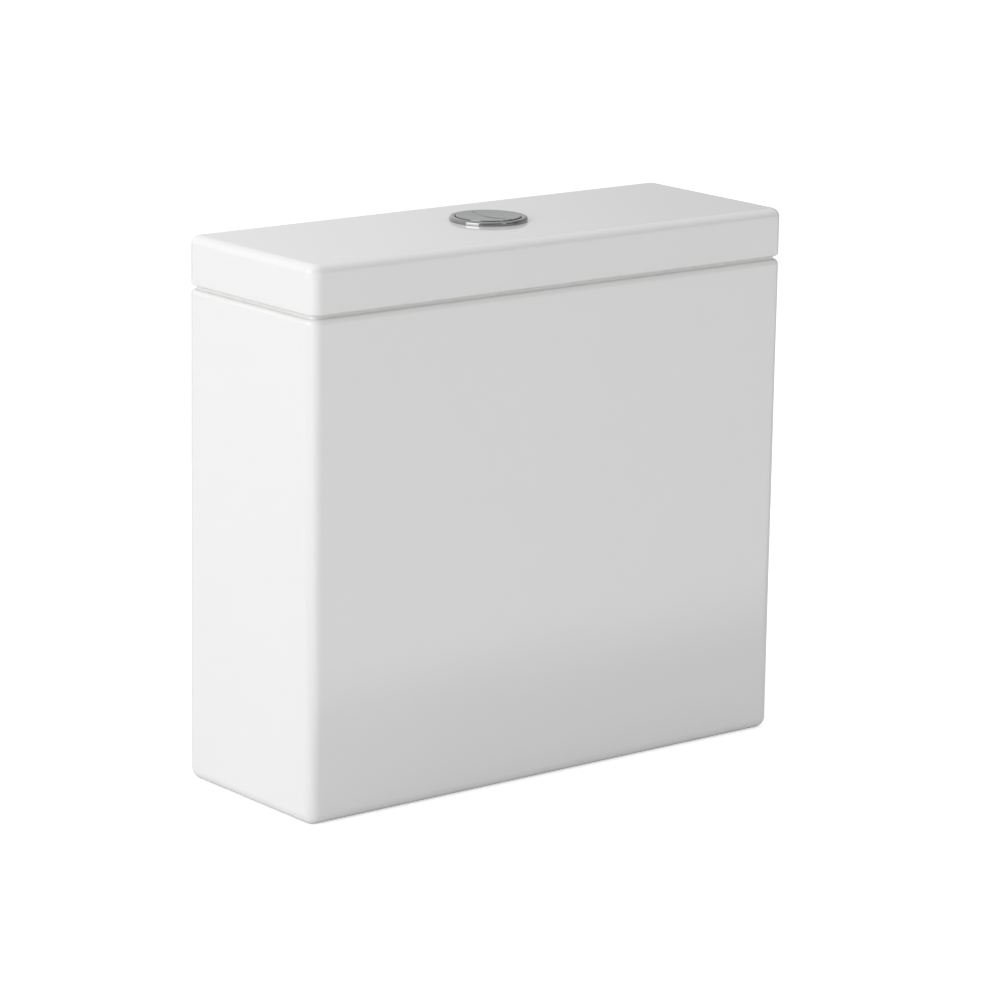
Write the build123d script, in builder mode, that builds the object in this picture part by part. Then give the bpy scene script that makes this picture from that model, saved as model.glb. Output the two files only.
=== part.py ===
from build123d import *
import math
import os

# A close-coupled toilet cistern: a glazed china tank and its lid, a dual flush
# valve worked by a split push button, and a bottom inlet fill valve.
# All sizes are in millimetres. The origin is at the middle of the footprint, on
# the plane that the tank's skirt stands on. X runs along the width, the front
# faces -Y and Z points up.

# Tank and lid
cistern_width = 400.0
cistern_depth = 140.0
cistern_height = 370.0
lid_height = 33.0
wall_thickness = 11.0
floor_thickness = 12.0
skirt_depth = 30.0
corner_radius = 8.5
inside_corner_radius = 6.0
base_edge_radius = 7.5
floor_edge_radius = 5.0
body_rim_radius = 4.5
lid_top_radius = 6.0
lid_seam_radius = 2.0
lid_top_thickness = 11.0
lid_rim_width = 21.0
lid_pocket_radius = 5.0
lip_depth = 9.0
lip_clearance = 2.5

# Holes in the tank floor and the lid
flush_axis_back = 4.5
inlet_from_side = 50.0
bolt_spacing = 150.0
bolt_hole_radius = 7.0
flush_hole_radius = 33.0
inlet_hole_radius = 12.5
lid_hole_radius = 24.2

# Clearances
thread_gap = 0.15
slide_gap = 0.4
contact_gap = 0.3
pin_gap = 0.06
cut_overrun = 5.0

# Push button set in the lid
bezel_radius = 26.5
bezel_height = 2.8
bezel_edge_radius = 1.4
barrel_radius = 23.7
barrel_wall = 1.3
barrel_length = 32.0
bezel_nut_radius = 30.0
bezel_nut_height = 7.0
nut_lug_count = 6
nut_lug_width = 7.0
nut_lug_reach = 3.0
button_gap = 0.4
button_proud = 0.6
button_plate = 2.5
button_skirt_depth = 12.0
button_skirt_wall = 1.6
button_edge_radius = 0.5
button_boss_radius = 4.6
button_boss_depth = 10.0
split_offset = 4.0
split_radius = 34.0
press_travel = 7.0
housing_floor = 2.5
housing_wall_height = 5.0
housing_guide_radius = 4.4
housing_guide_depth = 9.0
rod_offset = 13.0
rod_radius = 2.5
rod_socket_depth = 8.0
spring_wire_radius = 0.45
spring_coil_radius = 5.6
spring_turns = 4
spring_wire_sides = 6

# Flush valve base, seat and tail
tail_radius = 29.8
tail_bore_radius = 25.5
tail_length = 24.0
base_washer_radius = 43.0
base_washer_height = 3.0
base_flange_radius = 44.0
base_flange_height = 5.0
seat_bore_radius = 26.4
seat_height = 10.0
seat_lip_width = 1.2
seat_chamfer = 2.2
bayonet_count = 3
bayonet_reach = 4.0
bayonet_height = 4.0
bayonet_rise = 2.5
bayonet_arc = 36.0
back_nut_radius = 37.0
back_nut_height = 9.0
gasket_radius = 46.0
gasket_mouth_radius = 40.0
gasket_height = 18.0
gasket_step = 6.0

# Valve cage and head
cage_radius = 38.0
cage_wall = 2.0
cage_foot_wall = 3.4
cage_foot_height = 10.0
cage_window_height = 32.0
cage_leg_count = 6
cage_leg_width = 8.0
cage_below_overflow = 32.0
cage_top_thickness = 3.0
cage_slot_count = 3
cage_slot_width = 9.0
cage_slot_margin = 10.0
collar_drop = 35.0
collar_height = 4.0
head_wall = 2.2
head_ring_height = 10.0
head_leg_width = 20.0
head_top_thickness = 4.0
head_above_cage = 25.0
bracket_gap = 0.7
bracket_thickness = 2.4
bracket_half_width = 4.6
guide_eye_radius = 4.8
guide_eye_height = 5.0

# Rocker levers
lever_half_thickness = 3.0
lever_half_width = 4.4
lever_hub_radius = 4.2
pad_arm = 14.0
tip_arm = 17.0
lift_play = 0.4
lever_pin_radius = 1.8
lever_pin_overhang = 0.8
lever_headroom = 2.1

# Overflow tube and what rides on it
tube_radius = 14.0
tube_wall = 1.7
overflow_below_rim = 80.0
tube_tail = 6.0
seal_radius = 31.0
seal_thickness = 3.0
foot_radius = 28.0
foot_thickness = 3.0
retainer_radius = 22.0
retainer_height = 5.4
float_collar_radius = 18.0
float_collar_height = 4.0
float_below_cage = 25.0
float_radius = 33.0
float_height = 52.0
float_edge = 3.0
yoke_ring_width = 5.0
yoke_height = 5.0
yoke_rise = 1.5
yoke_arm_gap = 1.6
yoke_arm_thickness = 3.0
yoke_bar_length = 7.0
yoke_bar_height = 5.0

# Half flush link and float
link_rod_radius = 2.0
link_leg_gap = 1.1
link_leg_thickness = 3.0
link_bar_length = 7.0
link_bar_height = 5.0
link_window = 20.0
half_float_drop = 12.0
half_float_height = 46.0
half_float_depth = 16.0
half_float_arc = 46.0
half_guide_gap = 5.0
link_rod_tail = 4.0

# Fill valve
shank_radius = 10.2
shank_neck_radius = 10.45
shank_bore_radius = 4.0
shank_length = 22.0
fill_washer_radius = 17.5
fill_washer_height = 3.0
fill_flange_radius = 18.0
fill_flange_height = 4.0
fill_nut_across_flats = 32.0
fill_nut_height = 8.0
riser_radius = 8.0
riser_below_rim = 54.0
filter_length = 18.0
filter_clearance = 0.2
filter_wall = 1.0
filter_rise = 2.0
fill_head_radius = 17.0
fill_head_height = 18.0
fill_head_below = 15.0
fill_port_count = 6
fill_port_width = 5.0
fill_port_height = 7.0
diaphragm_radius = 16.5
diaphragm_thickness = 2.0
cap_radius = 18.8
cap_thickness = 5.0
cap_skirt_depth = 10.0
nozzle_radius = 2.5
arm_pivot_offset = 12.0
arm_half_thickness = 2.0
arm_half_width = 5.0
arm_hub_radius = 3.4
arm_nose = 15.0
arm_tip = 6.0
arm_pin_radius = 1.5
arm_pivot_rise = 7.5
arm_bracket_thickness = 2.0
arm_bracket_half_width = 4.0
pilot_seal_radius = 3.0
pilot_seal_thickness = 1.0
float_rod_offset = 32.0
float_rod_radius = 1.8
rod_ball_radius = 3.0
knob_radius = 3.5
ball_play = 1.0
knob_play = 1.2
knob_stem = 3.0
float_rod_margin = 12.0
fill_float_width = 50.0
fill_float_height = 46.0
fill_float_below_head = 6.0
fill_float_wall = 2.0
fill_float_edge = 3.0
fill_float_left = 26.0

# Places that follow from the sizes above
body_height = cistern_height - lid_height
floor_top = skirt_depth + floor_thickness
inside_width = cistern_width - 2 * wall_thickness
inside_depth = cistern_depth - 2 * wall_thickness
flush_axis = (0, flush_axis_back)
inlet_axis_left = cistern_width / 2 - inlet_from_side
inlet_axis = (-inlet_axis_left, 0)
flush_line = Axis((0, flush_axis_back, 0), (0, 0, 1))
inlet_line = Axis((-inlet_axis_left, 0, 0), (0, 0, 1))
flush_section = Plane(origin=(0, flush_axis_back, 0), x_dir=(1, 0, 0), z_dir=(0, -1, 0))
inlet_section = Plane(origin=(-inlet_axis_left, 0, 0), x_dir=(1, 0, 0), z_dir=(0, -1, 0))

flange_bottom = floor_top + base_washer_height
flange_top = flange_bottom + base_flange_height
seat_top = flange_top + seat_height
overflow_top = body_height - overflow_below_rim
cage_top = overflow_top - cage_below_overflow
collar_top = cage_top - collar_drop
collar_bottom = collar_top - collar_height
window_top = flange_top + cage_foot_height + cage_window_height
float_bottom = cage_top - float_below_cage - float_height
half_float_low = collar_bottom - half_float_drop - half_float_height
half_guide_low = half_float_low - half_guide_gap - guide_eye_height
head_top = cage_top + head_above_cage
tube_lift = press_travel * tip_arm / pad_arm + lift_play
pivot_height = overflow_top + tube_lift + press_travel + lever_half_thickness + lever_headroom
pivot_offset = rod_offset + pad_arm
tip_offset = pivot_offset + tip_arm
bracket_inner = lever_half_width + bracket_gap
bracket_outer = bracket_inner + bracket_thickness
lever_top = pivot_height + lever_half_thickness
lift_face = lever_top + contact_gap

riser_top = body_height - riser_below_rim
fill_head_bottom = riser_top - fill_head_below
fill_head_top = fill_head_bottom + fill_head_height
cap_bottom = fill_head_top + diaphragm_thickness
cap_top = cap_bottom + cap_thickness
arm_pivot_height = cap_top + arm_pivot_rise
fill_float_top = fill_head_bottom - fill_float_below_head
fill_float_bottom = fill_float_top - fill_float_height
fill_float_length = fill_float_left + float_rod_offset + float_rod_margin
arm_reach = float_rod_offset - arm_pivot_offset + arm_tip
fill_float_centre = -inlet_axis_left - fill_float_left + fill_float_length / 2
float_rod_place = (-inlet_axis_left + float_rod_offset, 0)

lid_underside = cistern_height - lid_top_thickness
barrel_bottom = cistern_height - barrel_length
button_top = cistern_height + bezel_height + button_proud
button_radius = barrel_radius - barrel_wall - button_gap
housing_radius = barrel_radius - barrel_wall - thread_gap
housing_bottom = barrel_bottom


def rounded_block(width, depth, radius, low, high, mode=Mode.ADD):
    """Adds or cuts an upright block with round corners, centred on the origin."""
    with BuildSketch(Plane.XY.offset(low)) as outline:
        RectangleRounded(width, depth, radius)
    extrude(outline.sketch, amount=high - low, mode=mode)


def upright_ring(outer, inner, low, high, place, mode=Mode.ADD):
    """Adds or cuts an upright ring, or a disc where the inner radius is zero."""
    with BuildSketch(Plane.XY.offset(low)) as outline:
        with Locations(place):
            Circle(outer)
            if inner > 0:
                Circle(inner, mode=Mode.SUBTRACT)
    extrude(outline.sketch, amount=high - low, mode=mode)


def upright_bar(x_low, x_high, y_low, y_high, low, high, mode=Mode.ADD):
    """Adds or cuts a square bar between two corners."""
    with BuildSketch(Plane.XY.offset(low)) as outline:
        with Locations(((x_low + x_high) / 2, (y_low + y_high) / 2)):
            Rectangle(x_high - x_low, y_high - y_low)
    extrude(outline.sketch, amount=high - low, mode=mode)


def finish(part, name):
    """Names a finished piece and writes it to its own file."""
    part.label = name
    export_step(part, f"parts/{name}.step")


os.makedirs("parts", exist_ok=True)

# Tank: outer block, water space above the floor, recess under it, floor holes
with BuildPart() as cistern_body:
    rounded_block(cistern_width, cistern_depth, corner_radius, 0, body_height)
    fillet(cistern_body.faces().sort_by(Axis.Z)[0].edges(), base_edge_radius)
    fillet(cistern_body.faces().sort_by(Axis.Z)[-1].edges(), body_rim_radius)
    rounded_block(inside_width, inside_depth, inside_corner_radius, floor_top, body_height,
                  mode=Mode.SUBTRACT)
    tank_floor = cistern_body.faces().filter_by(Plane.XY).group_by(Axis.Z)[-2]
    fillet(tank_floor.edges(), floor_edge_radius)
    rounded_block(inside_width, inside_depth, inside_corner_radius, 0, skirt_depth,
                  mode=Mode.SUBTRACT)
    upright_ring(flush_hole_radius, 0, skirt_depth, floor_top, flush_axis, mode=Mode.SUBTRACT)
    upright_ring(inlet_hole_radius, 0, skirt_depth, floor_top, inlet_axis, mode=Mode.SUBTRACT)
    for side in (-1, 1):
        bolt_place = (side * bolt_spacing / 2, flush_axis_back)
        upright_ring(bolt_hole_radius, 0, skirt_depth, floor_top, bolt_place, mode=Mode.SUBTRACT)
finish(cistern_body.part, "cistern_body")

# Lid: flat cap with a pocket under it and a lip that drops into the tank's mouth
with BuildPart() as cistern_lid:
    rounded_block(cistern_width, cistern_depth, corner_radius, body_height, cistern_height)
    fillet(cistern_lid.faces().sort_by(Axis.Z)[-1].edges(), lid_top_radius)
    fillet(cistern_lid.faces().sort_by(Axis.Z)[0].edges(), lid_seam_radius)
    rounded_block(inside_width - 2 * lip_clearance, inside_depth - 2 * lip_clearance,
                  inside_corner_radius, body_height - lip_depth, body_height)
    rounded_block(cistern_width - 2 * lid_rim_width, cistern_depth - 2 * lid_rim_width,
                  lid_pocket_radius, body_height - lip_depth, lid_underside, mode=Mode.SUBTRACT)
    upright_ring(lid_hole_radius, 0, lid_underside, cistern_height, flush_axis,
                 mode=Mode.SUBTRACT)
finish(cistern_lid.part, "cistern_lid")

# Bezel: chrome ring on the lid with a barrel through the lid's hole
with BuildPart() as button_bezel:
    upright_ring(bezel_radius, 0, cistern_height, cistern_height + bezel_height, flush_axis)
    fillet(button_bezel.faces().sort_by(Axis.Z)[-1].edges(), bezel_edge_radius)
    upright_ring(barrel_radius, 0, barrel_bottom, cistern_height, flush_axis)
    upright_ring(barrel_radius - barrel_wall, 0, barrel_bottom, cistern_height + bezel_height,
                 flush_axis, mode=Mode.SUBTRACT)
finish(button_bezel.part, "button_bezel")

# Ring nut that clamps the bezel from below
with BuildPart() as bezel_nut:
    nut_bottom = lid_underside - bezel_nut_height
    upright_ring(bezel_nut_radius, 0, nut_bottom, lid_underside, flush_axis)
    with BuildSketch(Plane.XY.offset(nut_bottom)):
        with Locations(flush_axis):
            with PolarLocations(bezel_nut_radius, nut_lug_count):
                Rectangle(2 * nut_lug_reach, nut_lug_width)
    extrude(amount=bezel_nut_height)
    upright_ring(barrel_radius + thread_gap, 0, nut_bottom, lid_underside, flush_axis,
                 mode=Mode.SUBTRACT)
finish(bezel_nut.part, "bezel_nut")

# Housing: cup in the barrel with a guide for each push rod
with BuildPart() as button_housing:
    housing_top = housing_bottom + housing_floor + housing_wall_height
    upright_ring(housing_radius, 0, housing_bottom, housing_bottom + housing_floor, flush_axis)
    upright_ring(housing_radius, housing_radius - barrel_wall, housing_bottom, housing_top,
                 flush_axis)
    for side in (-1, 1):
        guide_place = (side * rod_offset, flush_axis_back)
        upright_ring(housing_guide_radius, 0, housing_bottom - housing_guide_depth,
                     housing_bottom, guide_place)
        upright_ring(rod_radius + slide_gap, 0, housing_bottom - housing_guide_depth,
                     housing_top, guide_place, mode=Mode.SUBTRACT)
finish(button_housing.part, "button_housing")


def split_button(side):
    """Makes one part of the split disc: side 1 is the full flush, side -1 the half."""
    plate_bottom = button_top - button_plate
    split_centre = (split_radius - split_offset, flush_axis_back)
    with BuildPart() as button:
        upright_ring(button_radius, 0, plate_bottom, button_top, flush_axis)
        top_edge = button.faces().sort_by(Axis.Z)[-1].edges()
        fillet(top_edge, button_edge_radius)
        upright_ring(button_radius, button_radius - button_skirt_wall,
                     plate_bottom - button_skirt_depth, plate_bottom, flush_axis)
        with BuildSketch(Plane.XY.offset(plate_bottom - button_skirt_depth)):
            with Locations(split_centre):
                Circle(split_radius - side * button_gap / 2)
        keep_mode = Mode.INTERSECT if side > 0 else Mode.SUBTRACT
        extrude(amount=button_skirt_depth + button_plate, mode=keep_mode)
        rod_place = (side * rod_offset, flush_axis_back)
        upright_ring(button_boss_radius, 0, plate_bottom - button_boss_depth, plate_bottom,
                     rod_place)
        upright_ring(rod_radius + thread_gap, 0, plate_bottom - button_boss_depth,
                     plate_bottom - button_boss_depth + rod_socket_depth, rod_place,
                     mode=Mode.SUBTRACT)
    return button.part


finish(split_button(1), "full_flush_button")
finish(split_button(-1), "half_flush_button")


def push_rod(side):
    """Makes a push rod: threaded into its button, round where it meets the lever."""
    rod_top = button_top - button_plate - button_boss_depth + rod_socket_depth
    tip_centre = lift_face + rod_radius
    with BuildPart() as rod:
        with BuildSketch(Plane(origin=(side * rod_offset, flush_axis_back, 0),
                               x_dir=(1, 0, 0), z_dir=(0, -1, 0))):
            with BuildLine():
                Line((0, lift_face), (0, rod_top))
                Line((0, rod_top), (rod_radius, rod_top))
                Line((rod_radius, rod_top), (rod_radius, tip_centre))
                RadiusArc((rod_radius, tip_centre), (0, lift_face), rod_radius)
            make_face()
        revolve(axis=Axis((side * rod_offset, flush_axis_back, 0), (0, 0, 1)))
    return rod.part


finish(push_rod(1), "full_push_rod")
finish(push_rod(-1), "half_push_rod")


def helix_point(centre, radius, pitch, low, turn):
    """Gives a point of an upright helix and the unit direction of its wire there."""
    angle = 2 * math.pi * turn
    slope = pitch / (2 * math.pi * radius)
    length = math.sqrt(1 + slope * slope)
    point = Vector(centre[0] + radius * math.cos(angle), centre[1] + radius * math.sin(angle),
                   low + pitch * turn)
    direction = Vector(-math.sin(angle) / length, math.cos(angle) / length, slope / length)
    return point, direction


def biarc(start, start_way, end, end_way):
    """Joins two points by two arcs that are tangent to each other and to the ends."""
    chord = end - start
    ways = start_way + end_way
    spread = 2 * (1 - start_way.dot(end_way))
    reach = (-chord.dot(ways) + math.sqrt(chord.dot(ways) ** 2 + spread * chord.dot(chord))) / spread
    middle = (start + end + (start_way - end_way) * reach) * 0.5
    middle_way = ((end - end_way * reach) - (start + start_way * reach)).normalized()
    TangentArc(start, middle, tangent=start_way)
    TangentArc(middle, end, tangent=middle_way)


def return_spring(side):
    """Makes the coil spring round a push rod, between the housing and the button."""
    spring_low = housing_bottom + housing_floor + spring_wire_radius
    spring_high = button_top - button_plate - button_boss_depth - spring_wire_radius
    pitch = (spring_high - spring_low) / spring_turns
    centre = (side * rod_offset, flush_axis_back)
    with BuildPart() as spring:
        with BuildLine() as wire:
            for quarter in range(4 * spring_turns):
                start, start_way = helix_point(centre, spring_coil_radius, pitch, spring_low,
                                               quarter / 4)
                end, end_way = helix_point(centre, spring_coil_radius, pitch, spring_low,
                                           (quarter + 1) / 4)
                biarc(start, start_way, end, end_way)
        begin, begin_way = helix_point(centre, spring_coil_radius, pitch, spring_low, 0)
        with BuildSketch(Plane(origin=begin, z_dir=begin_way)):
            RegularPolygon(spring_wire_radius, spring_wire_sides)
        sweep(path=wire.wires()[0])
    print(f"return spring: gap between turns {pitch - 2 * spring_wire_radius:.2f} mm")
    return spring.part


finish(return_spring(1), "full_return_spring")
finish(return_spring(-1), "half_return_spring")

# Flush valve base: tail through the floor, flange on it and the valve seat above
with BuildPart() as valve_base:
    tail_bottom = skirt_depth - tail_length
    seat_inner = seat_bore_radius
    seat_outer = seat_bore_radius + seat_lip_width
    with BuildSketch(flush_section):
        with BuildLine():
            Polyline((tail_bore_radius, tail_bottom), (tail_radius, tail_bottom),
                     (tail_radius, flange_bottom), (base_flange_radius, flange_bottom),
                     (base_flange_radius, flange_top), (tail_radius, flange_top),
                     (tail_radius, seat_top - seat_chamfer), (seat_outer, seat_top),
                     (seat_inner, seat_top), (seat_inner, flange_top),
                     (tail_bore_radius, flange_top), close=True)
        make_face()
    revolve(axis=flush_line)
    with BuildSketch(Plane.XY.offset(flange_top + bayonet_rise)):
        with Locations(flush_axis):
            Circle(tail_radius + bayonet_reach)
            Circle(tail_radius - thread_gap, mode=Mode.SUBTRACT)
        for lug in range(bayonet_count):
            gap_start = (lug + 0.5) * 360 / bayonet_count + bayonet_arc / 2
            gap_arc = 360 / bayonet_count - bayonet_arc
            with BuildLine():
                far = 2 * tail_radius
                gap = CenterArc(flush_axis, far, gap_start, gap_arc)
                Line(gap @ 0, flush_axis)
                Line(gap @ 1, flush_axis)
            make_face(mode=Mode.SUBTRACT)
    extrude(amount=bayonet_height)
finish(valve_base.part, "valve_base")

with BuildPart() as base_washer:
    upright_ring(base_washer_radius, tail_radius + thread_gap, floor_top, flange_bottom, flush_axis)
finish(base_washer.part, "base_washer")

# Back nut: flanged ring under the tank floor with lugs for the fingers
with BuildPart() as flush_back_nut:
    nut_bottom = skirt_depth - back_nut_height
    upright_ring(back_nut_radius, 0, nut_bottom, skirt_depth, flush_axis)
    with BuildSketch(Plane.XY.offset(nut_bottom)):
        with Locations(flush_axis):
            with PolarLocations(back_nut_radius, nut_lug_count):
                Rectangle(2 * nut_lug_reach, nut_lug_width)
    extrude(amount=back_nut_height)
    upright_ring(tail_radius + thread_gap, 0, nut_bottom, skirt_depth, flush_axis,
                 mode=Mode.SUBTRACT)
finish(flush_back_nut.part, "flush_back_nut")

# Pan gasket: stepped rubber ring under the back nut
with BuildPart() as pan_gasket:
    gasket_top = skirt_depth - back_nut_height
    gasket_bottom = gasket_top - gasket_height
    with BuildSketch(flush_section):
        with BuildLine():
            Polyline((tail_radius + thread_gap, gasket_bottom), (gasket_mouth_radius, gasket_bottom),
                     (gasket_radius, gasket_bottom + gasket_step),
                     (gasket_radius, gasket_top), (tail_radius + thread_gap, gasket_top),
                     close=True)
        make_face()
    revolve(axis=flush_line)
finish(pan_gasket.part, "pan_gasket")

# Valve cage: foot ring on the base, open windows for the water, slotted shell above
with BuildPart() as valve_cage:
    foot_inner = cage_radius - cage_foot_wall
    upright_ring(cage_radius, foot_inner, flange_top, window_top, flush_axis)
    upright_ring(cage_radius, cage_radius - cage_wall, window_top, cage_top, flush_axis)
    upright_ring(cage_radius, tube_radius + slide_gap, cage_top - cage_top_thickness, cage_top,
                 flush_axis)
    upright_ring(cage_radius + head_wall + slide_gap, cage_radius - cage_wall,
                 collar_bottom, collar_top, flush_axis)
    with BuildSketch(Plane.XY.offset(flange_top + cage_foot_height)):
        with Locations(flush_axis):
            Circle(cage_radius + cut_overrun)
            Circle(foot_inner - cut_overrun, mode=Mode.SUBTRACT)
            with PolarLocations(cage_radius, cage_leg_count):
                Rectangle(4 * cut_overrun, cage_leg_width, mode=Mode.SUBTRACT)
    extrude(amount=cage_window_height, mode=Mode.SUBTRACT)
    slot_low = window_top + cage_slot_margin
    slot_high = collar_bottom - cage_slot_margin
    with BuildSketch(Plane.XY.offset(slot_low)):
        with Locations(flush_axis):
            with PolarLocations(cage_radius, cage_slot_count, start_angle=30):
                Rectangle(4 * cage_wall, cage_slot_width)
    extrude(amount=slot_high - slot_low, mode=Mode.SUBTRACT)
    guide_place = (-tip_offset, flush_axis_back)
    upright_ring(guide_eye_radius, 0, half_guide_low, half_guide_low + guide_eye_height, guide_place)
    upright_bar(-tip_offset, -cage_radius + cage_wall, flush_axis_back - guide_eye_radius / 2,
                flush_axis_back + guide_eye_radius / 2, half_guide_low, half_guide_low + guide_eye_height)
    upright_ring(link_rod_radius + slide_gap, 0, half_guide_low, half_guide_low + guide_eye_height,
                 guide_place, mode=Mode.SUBTRACT)
finish(valve_cage.part, "valve_cage")

# Valve head: ring on the cage's collar, two legs, and a table with the lever brackets
with BuildPart() as valve_head:
    head_inner = cage_radius + slide_gap
    head_outer = head_inner + head_wall
    table_bottom = head_top - head_top_thickness
    upright_ring(head_outer, head_inner, collar_top, collar_top + head_ring_height, flush_axis)
    with BuildSketch(Plane.XY.offset(collar_top)):
        with Locations(flush_axis):
            Circle(head_outer)
            Circle(head_inner, mode=Mode.SUBTRACT)
            Rectangle(head_leg_width, 2 * head_outer, mode=Mode.INTERSECT)
    extrude(amount=table_bottom - collar_top)
    upright_ring(head_outer, 0, table_bottom, head_top, flush_axis)
    guide_place = (-tip_offset, flush_axis_back)
    upright_ring(guide_eye_radius, 0, head_top - guide_eye_height, head_top, guide_place)
    upright_ring(link_rod_radius + slide_gap, 0, head_top - guide_eye_height, head_top,
                 guide_place, mode=Mode.SUBTRACT)
    upright_ring(tube_radius + slide_gap, 0, table_bottom, head_top, flush_axis,
                 mode=Mode.SUBTRACT)
    for side in (-1, 1):
        for face in (-1, 1):
            bracket_middle = flush_axis_back + face * (bracket_inner + bracket_outer) / 2
            bracket_plane = Plane(origin=(side * pivot_offset, bracket_middle, 0),
                                  x_dir=(1, 0, 0), z_dir=(0, -1, 0))
            with BuildSketch(bracket_plane):
                with Locations((0, (head_top + pivot_height) / 2)):
                    Rectangle(2 * bracket_half_width, pivot_height - head_top)
                with Locations((0, pivot_height)):
                    Circle(bracket_half_width)
                    Circle(lever_pin_radius + pin_gap, mode=Mode.SUBTRACT)
            extrude(amount=bracket_thickness / 2, both=True)
finish(valve_head.part, "valve_head")

# Lever pins: one across each pair of brackets
with BuildPart() as lever_pins:
    pin_reach = bracket_outer + lever_pin_overhang
    for side in (-1, 1):
        with BuildSketch(Plane(origin=(side * pivot_offset, flush_axis_back, pivot_height),
                               x_dir=(1, 0, 0), z_dir=(0, -1, 0))):
            Circle(lever_pin_radius)
        extrude(amount=pin_reach, both=True)
finish(lever_pins.part, "lever_pins")


def rocker_lever(side):
    """Makes a rocker lever: the rod presses its inner end and its outer end lifts."""
    lever_plane = Plane(origin=(side * pivot_offset, flush_axis_back, pivot_height),
                        x_dir=(side, 0, 0), z_dir=(0, -side, 0))
    with BuildPart() as lever:
        with BuildSketch(lever_plane):
            with Locations(((tip_arm - pad_arm) / 2, 0)):
                SlotCenterToCenter(pad_arm + tip_arm, 2 * lever_half_thickness)
            Circle(lever_hub_radius)
            Circle(lever_pin_radius + pin_gap, mode=Mode.SUBTRACT)
        extrude(amount=lever_half_width, both=True)
    return lever.part


finish(rocker_lever(1), "full_lever")
finish(rocker_lever(-1), "half_lever")

# Overflow tube: stem of the valve with its foot and the float's collar
with BuildPart() as overflow_tube:
    upright_ring(tube_radius, 0, seat_top - tube_tail, overflow_top, flush_axis)
    upright_ring(foot_radius, 0, seat_top + seal_thickness,
                 seat_top + seal_thickness + foot_thickness, flush_axis)
    upright_ring(float_collar_radius, 0, float_bottom - float_collar_height, float_bottom,
                 flush_axis)
    upright_ring(tube_radius - tube_wall, 0, seat_top - tube_tail, overflow_top, flush_axis,
                 mode=Mode.SUBTRACT)
finish(overflow_tube.part, "overflow_tube")

with BuildPart() as seal_washer:
    upright_ring(seal_radius, tube_radius + thread_gap, seat_top, seat_top + seal_thickness,
                 flush_axis)
finish(seal_washer.part, "seal_washer")

with BuildPart() as seal_retainer:
    upright_ring(retainer_radius, tube_radius + thread_gap, seat_top - retainer_height, seat_top,
                 flush_axis)
    chamfer(seal_retainer.faces().sort_by(Axis.Z)[0].edges().sort_by(SortBy.RADIUS)[-1],
            retainer_height / 4)
finish(seal_retainer.part, "seal_retainer")

with BuildPart() as flush_float:
    upright_ring(float_radius, 0, float_bottom, float_bottom + float_height, flush_axis)
    chamfer(flush_float.faces().filter_by(Plane.XY).edges(), float_edge)
    upright_ring(tube_radius + thread_gap, 0, float_bottom, float_bottom + float_height,
                 flush_axis, mode=Mode.SUBTRACT)
finish(flush_float.part, "flush_float")

# Lift yoke: ring on the tube, two arms past the brackets and a bar over the lever
with BuildPart() as lift_yoke:
    yoke_bottom = head_top + yoke_rise
    yoke_top = yoke_bottom + yoke_height
    arm_inner = bracket_outer + yoke_arm_gap
    arm_outer = arm_inner + yoke_arm_thickness
    bar_low = tip_offset - yoke_bar_length / 2
    bar_high = tip_offset + yoke_bar_length / 2
    bar_top = lift_face + yoke_bar_height
    upright_ring(tube_radius + yoke_ring_width, 0, yoke_bottom, yoke_top, flush_axis)
    for face in (-1, 1):
        arm_edges = sorted((flush_axis_back + face * arm_inner, flush_axis_back + face * arm_outer))
        upright_bar(0, bar_high, *arm_edges, yoke_bottom, yoke_top)
        upright_bar(bar_low, bar_high, *arm_edges, yoke_bottom, bar_top)
    upright_bar(bar_low, bar_high, flush_axis_back - arm_outer, flush_axis_back + arm_outer,
                lift_face, bar_top)
    upright_ring(tube_radius + thread_gap, 0, yoke_bottom, yoke_top, flush_axis,
                 mode=Mode.SUBTRACT)
finish(lift_yoke.part, "lift_yoke")

# Half flush link: stirrup over the half lever's outer end, with a rod to its float
with BuildPart() as half_flush_link:
    leg_inner = lever_half_width + link_leg_gap
    leg_outer = leg_inner + link_leg_thickness
    stirrup_top = lift_face + link_bar_height
    stirrup_bottom = lift_face - link_window
    rod_bottom = half_guide_low - link_rod_tail
    with BuildSketch(Plane(origin=(-tip_offset, flush_axis_back, 0), x_dir=(0, 1, 0),
                           z_dir=(1, 0, 0))):
        with Locations((0, (stirrup_bottom - link_bar_height + stirrup_top) / 2)):
            RectangleRounded(2 * leg_outer, stirrup_top - stirrup_bottom + link_bar_height,
                             link_leg_thickness / 2)
        with Locations((0, (stirrup_bottom + lift_face) / 2)):
            Rectangle(2 * leg_inner, lift_face - stirrup_bottom, mode=Mode.SUBTRACT)
    extrude(amount=link_bar_length / 2, both=True)
    upright_ring(link_rod_radius, 0, rod_bottom, stirrup_bottom, (-tip_offset, flush_axis_back))
finish(half_flush_link.part, "half_flush_link")

# Half flush float: curved block outside the cage, clipped on the link's rod
with BuildPart() as half_flush_float:
    block_inner = cage_radius + slide_gap
    block_outer = block_inner + half_float_depth
    with BuildSketch(Plane.XY.offset(half_float_low)):
        with BuildLine():
            block_start = 180 - half_float_arc / 2
            inner_arc = CenterArc(flush_axis, block_inner, block_start, half_float_arc)
            outer_arc = CenterArc(flush_axis, block_outer, block_start, half_float_arc)
            Line(inner_arc @ 0, outer_arc @ 0)
            Line(inner_arc @ 1, outer_arc @ 1)
        make_face()
    extrude(amount=half_float_height)
    upright_ring(link_rod_radius + thread_gap, 0, half_float_low,
                 half_float_low + half_float_height, (-tip_offset, flush_axis_back),
                 mode=Mode.SUBTRACT)
finish(half_flush_float.part, "half_flush_float")

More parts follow.
